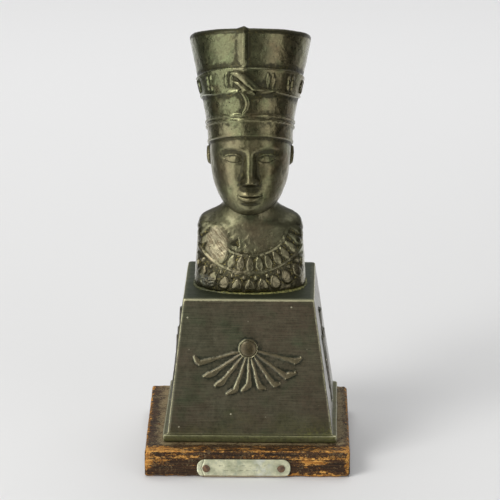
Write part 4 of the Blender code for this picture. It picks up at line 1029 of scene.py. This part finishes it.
def clump_relief(x, up):
    """Rise of the papyrus clump at x across and up along a side face, from the clump's foot."""
    rise = np.zeros(x.shape)
    for side, height in ((-1, SIDE_STEM_HEIGHT), (0, CLUMP_HEIGHT), (1, SIDE_STEM_HEIGHT)):
        stem = height - HEAD_LENGTH
        path = []
        for share in (0.0, 0.25, 0.5, 0.75, 1.0):
            reach = (share * stem / height) ** 1.5
            path.append((side * (STEM_SPACING + (CLUMP_SPREAD - STEM_SPACING) * reach), share * stem))
        distance = along_path(x, up, path)[0]
        stalk = STEM_RISE * np.sqrt(np.clip(1.0 - (distance / STEM_RADIUS) ** 2, 0.0, 1.0))
        top = path[-1][0]
        share = (up - stem) / HEAD_LENGTH
        half = STEM_RADIUS + (HEAD_HALF_WIDTH - STEM_RADIUS) * np.clip(share, 0.0, 1.0) ** 1.4
        across = (x - top) / half
        bell = (0.5 + 0.5 * np.clip(share, 0, 1)) * np.sqrt(np.clip(1.0 - across**2, 0.0, 1.0))
        bell = bell - 0.12 * (0.5 + 0.5 * np.cos(across * 9.0)) * (np.abs(across) < 1)
        inside = (share > 0.0) & (share < 1.0 - 0.08 * across**2)
        rise = np.maximum(rise, np.maximum(stalk, np.where(inside, bell, 0.0)))
    return rise


def heading(degrees):
    """A unit vector in this direction."""
    return np.array([math.cos(math.radians(degrees)), math.sin(math.radians(degrees))])


def spread(*stretches):
    """Values from (start, end, step) stretches that follow each other."""
    values = []
    for start, end, step in stretches:
        count = max(1, round(abs(end - start) / step))
        values += list(np.linspace(start, end, count, endpoint=False))
    return np.array(values + [stretches[-1][1]])


def pedestal_profile():
    """Heights and half widths from the pedestal's underside up, over its top edge and in across its top."""
    lean = (PEDESTAL_BOTTOM_HALF - PEDESTAL_TOP_HALF) / (PEDESTAL_HEIGHT - FOOT_HEIGHT)
    points = [(0.0, FOOT_HALF - 0.5), (0.0, FOOT_HALF - 0.25)]
    points += [(0.12, FOOT_HALF - 0.08), (0.4, FOOT_HALF), (1.1, FOOT_HALF), (FOOT_HEIGHT - 0.5, FOOT_HALF)]
    points += [(FOOT_HEIGHT - 0.2, FOOT_HALF - 0.08), (FOOT_HEIGHT - 0.03, FOOT_HALF - 0.3)]
    points += [(FOOT_HEIGHT, FOOT_HALF - 0.6), (FOOT_HEIGHT + 0.02, PEDESTAL_BOTTOM_HALF + 0.25)]
    points += [(FOOT_HEIGHT + 0.12, PEDESTAL_BOTTOM_HALF + 0.06)]
    top = PEDESTAL_HEIGHT - PEDESTAL_EDGE
    fine_low, fine_high = SUN_HEIGHTS
    stretches = ((FOOT_HEIGHT + 0.3, fine_low, 0.55), (fine_low, fine_high, 0.18), (fine_high, top, 0.45))
    for height in spread(*stretches):
        points.append((height, PEDESTAL_BOTTOM_HALF - lean * (height - FOOT_HEIGHT)))
    half = points[-1][1]
    for turn in (0.25, 0.5, 0.75, 1.0):
        swing = turn * math.pi / 2
        points.append(
            (top + PEDESTAL_EDGE * math.sin(swing), half - PEDESTAL_EDGE * (1.0 - math.cos(swing)))
        )
    for inward in (3.0, 8.0, 14.0, 20.0):
        points.append((PEDESTAL_HEIGHT, half - PEDESTAL_EDGE - inward))
    return np.array(points)


def square_columns():
    """Places across the sides of a square of half width 1, one side after another, and their face numbers: 0
    is the front, 1 the right, 2 the back and 3 the left."""
    before, after = ((-1.0, -0.94, 0.02), (-0.94, -0.82, 0.03)), ((0.82, 0.94, 0.03), (0.94, 1.0, 0.02))
    front = spread(*before, (-0.82, 0.82, 0.0068), *after)
    before, after = (-1.0, -0.9, 0.025), (0.9, 1.0, 0.025)
    side = spread(before, (-0.9, -0.36, 0.09), (-0.36, 0.36, 0.014), (0.36, 0.9, 0.09), after)
    back = spread(before, (-0.9, 0.9, 0.1), after)
    sides = (front, side, back, side)
    return np.concatenate(sides), np.repeat(np.arange(4), [len(part) for part in sides])


def pedestal_marks(height, half, across, from_disc_x, from_disc_up, faces, sun, on_face):
    """Marks for rubbed edges, with painted highlights on the rays' left flanks and on the lit side of the
    disc's rim, the disc, raised relief and the grime on the foot.
    """
    corner = 0.9 * smoothstep(0.9, 0.2, np.maximum(half - np.abs(across), 0.0))
    corner = corner * (height < PEDESTAL_HEIGHT - 0.1)
    on_ledge = smoothstep(0.3, 0.05, np.abs(height - FOOT_HEIGHT) + 0 * across)
    ledge = on_ledge * (half > FOOT_HALF - 0.45)
    top = smoothstep(1.0, 0.2, np.abs(height - PEDESTAL_HEIGHT + 0.4) + 0 * across)
    top = top * (half > PEDESTAL_TOP_HALF - 1.6)
    # Painted highlight: the flanks of the rays that rise towards the right face the light from the left, and
    # they are marked as edges so that they are painted light.
    slope = np.gradient(sun, axis=1) / np.maximum(np.gradient(from_disc_x, axis=1), 1e-3)
    flank = smoothstep(0.25, 0.8, slope) * on_face
    edge = np.maximum(np.maximum(corner, flank), np.maximum(ledge, top))
    from_disc = np.hypot(from_disc_x, from_disc_up) / DISC_RADIUS
    disc = smoothstep(0.9, 0.75, from_disc) * (faces == 0)
    # Painted highlight: the disc's rim is marked stronger on its lower left, the side that faces the light.
    lit_side = smoothstep(0.7, -0.3, (from_disc_x + 0.7 * from_disc_up) / DISC_RADIUS) * (faces == 0)
    return {
        "edge": np.maximum(edge * (1.0 - disc), ridge(from_disc - 0.98, 0.07) * (0.45 + 0.55 * lit_side)),
        "disc": disc,
        "raised": smoothstep(0.12, 0.4, sun) * (1.0 - disc) * on_face,
        "grime": 0.1 * on_ledge * (half < FOOT_HALF - 0.45),
    }


def pedestal_surface():
    """The pedestal's surface in its own millimetres, with marks for cavity, edge, disc and raised relief."""
    profile = pedestal_profile()
    shares, faces = square_columns()
    height = profile[:, :1]
    half = profile[:, 1:2]
    flat = half - np.minimum(PEDESTAL_EDGE, 0.4 * np.abs(half))
    across = np.broadcast_to(shares[None, :] * half, (len(profile), len(shares)))
    over = np.clip(np.abs(across) - flat, 0.0, None) / np.maximum(half - flat, 1e-6)
    swing = over * math.pi / 4
    radius = half - flat
    along = np.where(over > 0, np.sign(across) * (flat + radius * np.sin(swing)), across)
    out = np.where(over > 0, flat + radius * np.cos(swing), half)
    lean = math.atan2(PEDESTAL_BOTTOM_HALF - PEDESTAL_TOP_HALF, PEDESTAL_HEIGHT - FOOT_HEIGHT)
    up = (height - FOOT_HEIGHT) / math.cos(lean)
    disc_up = (PEDESTAL_HEIGHT - DISC_BELOW_TOP - FOOT_HEIGHT) / math.cos(lean)
    on_face = (height > FOOT_HEIGHT + 0.5) & (height < PEDESTAL_HEIGHT - PEDESTAL_EDGE)
    sun = sun_relief(along - DISC_X, up + 0 * along - disc_up) * (faces == 0)
    clump = clump_relief(along, up + 0 * along - CLUMP_ABOVE_FOOT) * ((faces == 1) | (faces == 3))
    relief = (sun + clump) * on_face
    facing = np.array([(0.0, -1.0), (1.0, 0.0), (0.0, 1.0), (-1.0, 0.0)])[faces]
    aside = np.array([(1.0, 0.0), (0.0, 1.0), (-1.0, 0.0), (0.0, -1.0)])[faces]
    xy = along[..., None] * aside[None] + out[..., None] * facing[None]
    surface = np.concatenate([xy, np.broadcast_to(height[..., None], xy.shape[:2] + (1,))], axis=-1)
    uneven = 0.10 * rough_noise(surface, 14.0, 3) + 0.03 * rough_noise(surface, 2.5, 4)
    on_sides = smoothstep(0.05, 0.4, height) * (half > PEDESTAL_TOP_HALF - PEDESTAL_EDGE)
    relief_normal = np.concatenate(
        [facing * math.cos(lean), np.full((len(facing), 1), math.sin(lean))], axis=-1
    )[None]
    surface = surface + (relief + uneven * on_sides)[..., None] * relief_normal
    marks = pedestal_marks(height, half, across, along - DISC_X, up - disc_up, faces, sun, on_face)
    marks["cavity"] = np.maximum(cavity_of(relief, 6) * (1.0 - 0.5 * marks["disc"]), marks.pop("grime"))
    return surface, marks


def make_pedestal():
    """The pedestal, leaned, turned and stood on its place."""
    surface, marks = pedestal_surface()
    turned = np.array(Matrix.Rotation(PEDESTAL_TURN, 3, "Z"))
    surface[..., 0] += PEDESTAL_TOP_SHIFT * np.clip(surface[..., 2] / PEDESTAL_HEIGHT, 0.0, 1.0)
    surface = surface @ turned.T + np.array([PEDESTAL_X, PEDESTAL_Y, PEDESTAL_FOOT_Z])
    mesh = closed_mesh("pedestal_casting", surface, marks)
    add_piece("pedestal_casting", mesh, pedestal_finish(), "pedestal")


def rounded_spread(half, step):
    """Places from -half to half across the base, closer together at the edges."""
    inner = half - WOOD_EDGE
    edge = spread((-half, -inner, WOOD_EDGE_STEP))
    return np.concatenate([edge, spread((-inner, inner, step))[1:-1], -edge[::-1]])


def block_grid(sizes):
    """Grid indices of the points on a block's surface, with so many along each axis, and its faces."""
    corners, faces = {}, []
    for axis in range(3):
        u, v = (axis + 1) % 3, (axis + 2) % 3
        for end in (0, sizes[axis] - 1):
            for a, b in np.ndindex(sizes[u] - 1, sizes[v] - 1):
                quad = []
                for step_a, step_b in ((0, 0), (1, 0), (1, 1), (0, 1)):
                    index = [0, 0, 0]
                    index[axis], index[u], index[v] = end, a + step_a, b + step_b
                    quad.append(corners.setdefault(tuple(index), len(corners)))
                faces.append(quad if end else quad[::-1])
    return np.array(list(corners)), faces


def wood_marks(points, half, centre, near):
    """Marks for edge, dust and rubbed places, at points on a block of these half sizes about its centre."""
    x, y, z = points.T
    at_left, at_right = smoothstep(-14.0, -30.0, x), smoothstep(14.0, 28.0, x)
    on_top = z > half[2] - 0.01
    in_front = y < 0.01 - half[1]
    rubbed = np.zeros(len(points))
    for patch_x, patch_z, reach_x, reach_z, share in WOOD_PATCHES:
        rubbed = np.maximum(rubbed, share * hill(x, z, patch_x, patch_z, reach_x, reach_z) * in_front)
    for patch_x, patch_z, reach_x, reach_z, share in DARK_PATCHES:
        rubbed = rubbed - share * hill(x, z, patch_x, patch_z, reach_x, reach_z) * in_front
    strip = on_top * smoothstep(7.5, 3.0, y + half[1])
    rubbed = np.maximum(rubbed, strip * (0.66 + 0.5 * at_left + 0.16 * at_right))
    from_foot = np.maximum(np.abs(x + centre[0] - PEDESTAL_X), np.abs(y + centre[1] - PEDESTAL_Y)) - FOOT_HALF
    from_foot = from_foot * np.where(y < PEDESTAL_Y - FOOT_HALF, 1.7, 1.0)
    front_arris = (near < 1.9) & (y < 2.0 - half[1]) & (z > half[2] - 2.0) & (np.abs(x) < 34.0)
    side_arris = (np.abs(x) > half[0] - 2.0) & (z > half[2] - 2.5)
    edge = np.where(front_arris, 0.55 + 0.45 * at_left, 1.0 + 0.5 * side_arris)
    return {
        "edge": smoothstep(1.9, 0.2, near) * edge,
        "dust": on_top * smoothstep(5.5, 0.0, from_foot),
        "rubbed": rubbed,
    }


def make_wood():
    """The base as a rounded block whose edges are rubbed and dented."""
    across = rounded_spread((WOOD_HIGH[0] - WOOD_LOW[0]) / 2, WOOD_STEPS[0])
    upward = rounded_spread((WOOD_HIGH[2] - WOOD_LOW[2]) / 2, WOOD_STEPS[1])
    index, faces = block_grid((len(across), len(across), len(upward)))
    points = np.column_stack([across[index[:, 0]], across[index[:, 1]], upward[index[:, 2]]])
    half = np.array([across[-1], across[-1], upward[-1]])
    rounding = WOOD_EDGE * (1.0 + 0.45 * rough_noise(points, 9.0, 11) + 0.35 * rough_noise(points, 2.4, 12))
    rounding = np.clip(rounding, 0.5, 1.9)[:, None]
    core = np.clip(points, -(half - rounding), half - rounding)
    away = points - core
    length = np.linalg.norm(away, axis=1, keepdims=True)
    reach = np.max(np.abs(away), axis=1, keepdims=True)
    rounded = core + np.where(length > 1e-9, away / np.maximum(length, 1e-9) * reach, 0.0)
    near = np.sort(half - np.abs(points), axis=1)[:, 1]
    dents = np.clip(rough_noise(points, 1.7, 13) - 0.55, 0.0, 1.0) * smoothstep(1.8, 0.2, near) * 0.6
    rounded = np.clip(rounded - dents[:, None] * np.sign(points) * 0.5, -half, half)
    centre = (WOOD_LOW + WOOD_HIGH) / 2
    mesh = mesh_of("base_wood", rounded + centre, faces, wood_marks(points, half, centre, near))
    add_piece("base_wood", mesh, wood_finish(), "wooden_base")


def plate_strokes(x, z):
    """Depth of two rows of short level dashes."""
    depth = np.zeros(x.shape)
    for row, (height, first, count) in enumerate(STROKE_ROWS):
        for index in range(count):
            start = first + STROKE_PITCH * index
            end = start + STROKE_LENGTH + STROKE_LONGER * ((3 * index + row) % 3)
            distance = along_path(x, z, ((start, height), (end, height)))[0]
            depth = np.maximum(depth, ridge(distance, STROKE_WIDTH))
    return depth


def sheet_faces(rows, columns):
    """Faces of a thin sheet whose front and back are each a grid of points, with the rim between them."""
    offset = rows * columns
    faces = []
    for i, j in np.ndindex(rows - 1, columns - 1):
        a = i * columns + j
        d = a + columns
        faces.append((a, a + 1, d + 1, d))
        faces.append((offset + d, offset + d + 1, offset + a + 1, offset + a))
    index = np.arange(offset).reshape(rows, columns)
    rim = np.concatenate([index[0], index[1:, -1], index[-1, -2::-1], index[-2:0:-1, 0]]).tolist()
    return faces + [(b, a, offset + a, offset + b) for a, b in zip(rim, rim[1:] + rim[:1])]


def make_plate():
    """The plate, a thin sheet with round ends, bent a little at its left end, with strokes pressed in."""
    half_length, half_thick, half_height = (PLATE_HIGH - PLATE_LOW) / 2
    x = -half_length * np.cos(np.linspace(0.0, math.pi, PLATE_COLUMNS))
    inset = np.clip(np.abs(x) - (half_length - PLATE_CORNER), 0.0, PLATE_CORNER)
    tall = half_height - PLATE_CORNER + np.sqrt(np.clip(PLATE_CORNER**2 - inset**2, 0.0, None))
    grid_x = np.tile(x, (PLATE_ROWS, 1))
    grid_z = np.linspace(-1.0, 1.0, PLATE_ROWS)[:, None] * tall[None, :]
    rounding = smoothstep(0.35, 0.0, tall[None, :] - np.abs(grid_z)) * 0.22
    ends = smoothstep(half_length - 0.5, half_length, np.abs(grid_x)) * 0.2
    crease = along_path(grid_x, grid_z, PLATE_CREASE)[0]
    relief = -0.12 * plate_strokes(grid_x, grid_z) - 0.22 * ridge(crease, 0.3)
    spots = np.stack([grid_x, grid_z, 0 * grid_x], axis=-1)
    relief = relief + 0.06 * rough_noise(spots, 5.0, 21) + 0.03 * rough_noise(spots, 1.5, 22)
    front = -half_thick + np.maximum(rounding, ends) * 0.8 - relief
    front = np.clip(front, -half_thick - 0.15, None)
    back = np.full(grid_x.shape, half_thick)
    centre = (PLATE_LOW + PLATE_HIGH) / 2
    layers = [np.stack([grid_x, depth, grid_z], axis=-1) + centre for depth in (front, back)]
    vertices = np.concatenate([layer.reshape(-1, 3) for layer in layers])
    cavity = np.concatenate([cavity_of(relief * 2.0, 4).reshape(-1), np.zeros(relief.size)])
    mesh = mesh_of("plate_sheet", vertices, sheet_faces(PLATE_ROWS, PLATE_COLUMNS), {"cavity": cavity})
    bm = bmesh.new()
    bm.from_mesh(mesh)
    bmesh.ops.remove_doubles(bm, verts=bm.verts, dist=0.000002)
    bmesh.ops.recalc_face_normals(bm, faces=bm.faces)
    bm.to_mesh(mesh)
    bm.free()
    add_piece("plate_sheet", mesh, plate_finish(), "name_plate")


def make_nail(side, finish):
    """A small domed nail, hammered a little out of round."""
    low, high = (np.array(corner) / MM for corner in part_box(f"nail_{side}"))
    centre_x, centre_z = (low[0] + high[0]) / 2, (low[2] + high[2]) / 2
    front = low[1]
    seat = front + NAIL_HEAD_RISE
    profile = [(0.04, high[1]), (NAIL_SHANK_RADIUS, high[1] - NAIL_POINT), (NAIL_SHANK_RADIUS, seat + 0.02)]
    for share in np.linspace(0.0, 1.0, 14):
        swing = share * math.pi / 2
        radius = NAIL_HEAD_RADIUS * math.cos(swing) ** 0.7
        profile.append((max(radius, 0.02), seat - NAIL_HEAD_RISE * math.sin(swing) ** 1.4))
    turns = np.linspace(0.0, 2 * math.pi, 48, endpoint=False)
    profile = np.array(profile)
    x = centre_x + profile[:, :1] * np.cos(turns)[None, :]
    z = centre_z + profile[:, :1] * np.sin(turns)[None, :]
    surface = np.stack([x, np.broadcast_to(profile[:, 1:2], x.shape), z], axis=-1)
    on_head = (profile[:, 1:2] < seat + 0.01) * (profile[:, :1] > 0.05)
    wobble = 0.10 * rough_noise(surface, 0.9, 41 if side == "left" else 43)
    out = surface - np.array([centre_x, seat + 0.4, centre_z])
    out = out / np.linalg.norm(out, axis=-1, keepdims=True)
    surface = surface + (wobble * on_head)[..., None] * out
    surface[..., 1] = np.maximum(surface[..., 1], front)
    mesh = closed_mesh(f"nail_{side}_steel", surface, {})
    add_piece(f"nail_{side}_steel", mesh, finish, f"nail_{side}", sharp=math.radians(60))


def make_camera():
    """The camera, level across the picture, looking down a little."""
    level = math.cos(CAMERA_PITCH)
    back = Vector((math.sin(CAMERA_YAW) * level, -math.cos(CAMERA_YAW) * level, math.sin(CAMERA_PITCH)))
    data = bpy.data.cameras.new("camera")
    data.sensor_width = SENSOR_WIDTH
    data.lens = FOCAL_PIXELS / PICTURE * SENSOR_WIDTH
    data.clip_start = 0.05
    data.clip_end = 20.0
    camera = bpy.data.objects.new("camera", data)
    camera.location = Vector(CAMERA_TARGET) + back * CAMERA_DISTANCE
    camera.rotation_euler = back.to_track_quat("Z", "Y").to_euler()
    bpy.context.scene.collection.objects.link(camera)
    bpy.context.scene.camera = camera


def make_light(name, place, aim, size, power, color=(1.0, 1.0, 1.0), gloss=1.0):
    """A soft rectangular lamp that points at a place."""
    data = bpy.data.lights.new(name, "AREA")
    data.specular_factor = gloss
    data.shape = "RECTANGLE"
    data.size, data.size_y = size
    data.energy = power
    data.color = color
    light = bpy.data.objects.new(name, data)
    light.location = place
    light.rotation_euler = (Vector(place) - Vector(aim)).to_track_quat("Z", "Y").to_euler()
    bpy.context.scene.collection.objects.link(light)


def make_world():
    """A dark studio with a white background, soft panels at its sides and light from the table below, so
    that dark metal shows its form."""
    world = bpy.data.worlds.new("studio")
    world.use_nodes = True
    tree = world.node_tree
    direction = {"Vector": node(tree, "ShaderNodeTexCoord", "Generated")}
    x, y, z = (node(tree, "ShaderNodeSeparateXYZ", name, direction) for name in "XYZ")
    azimuth = x.math("ARCTAN2", -y)
    total = z.step(*TOP_LIGHT_RISE, 0.0, TOP_LIGHT, "LINEAR")
    total = total * z.step(*TOP_LIGHT_FALL, 1.0, ZENITH_SHARE, "LINEAR")
    background = z.step(BACKGROUND_HEIGHT, -0.05, 0.1, 1.0, "LINEAR")
    below_top = z.step(*PANEL_TOP, 1.0, 0.0, "LINEAR")
    for start, end, soft, strength in WORLD_PANELS:
        rising = azimuth.step(math.radians(start - soft), math.radians(start + soft), 0.0, strength)
        falling = azimuth.step(math.radians(end - soft), math.radians(end + soft), 1.0, 0.0)
        total = total + rising * falling * (background if abs(start) > 90.0 else below_top)
    total = total.math("MAXIMUM", z.step(*TABLE_HEIGHTS, 0.0, TABLE_LIGHT, "LINEAR"))
    shade = tree.nodes["Background"]
    shade.inputs["Color"].default_value = (1.0, 1.0, 1.0, 1.0)
    tree.links.new((total + WORLD_DARK).socket, shade.inputs["Strength"])
    bpy.context.scene.world = world


def make_floor():
    """A plain pale floor, a little lighter far behind."""
    bm = bmesh.new()
    bmesh.ops.create_grid(bm, x_segments=1, y_segments=1, size=FLOOR_SIZE)
    mesh = bpy.data.meshes.new("floor")
    bm.to_mesh(mesh)
    bm.free()
    floor = bpy.data.objects.new("floor", mesh)
    floor.location = (0.0, 0.0, -0.1 * MM)
    floor.visible_glossy = False
    bpy.context.scene.collection.objects.link(floor)
    made = Finish("floor", Roughness=0.9)
    far = made.axis("Y") + made.noise(400.0, 2.0) * 60.0
    made.ground(far.step(120.0, 760.0), (0.745, 0.745, 0.745), (0.87, 0.87, 0.875))
    mesh.materials.append(made.done())


make_camera()
make_world()
make_light("key", (-0.80, -0.75, 1.05), (0.0, 0.0, 0.10), (0.6, 0.6), 11.0, (1.0, 0.99, 0.97))
make_light("top", (0.0, 0.5, 1.4), (0.0, 0.0, 0.08), (1.2, 1.0), 10.0, gloss=0.0)
make_floor()
make_bust()
make_seam()
make_pedestal()
make_wood()
make_plate()
rusted = nail_finish()
for side in ("left", "right"):
    make_nail(side, rusted)

bpy.context.scene.view_settings.view_transform = "Standard"
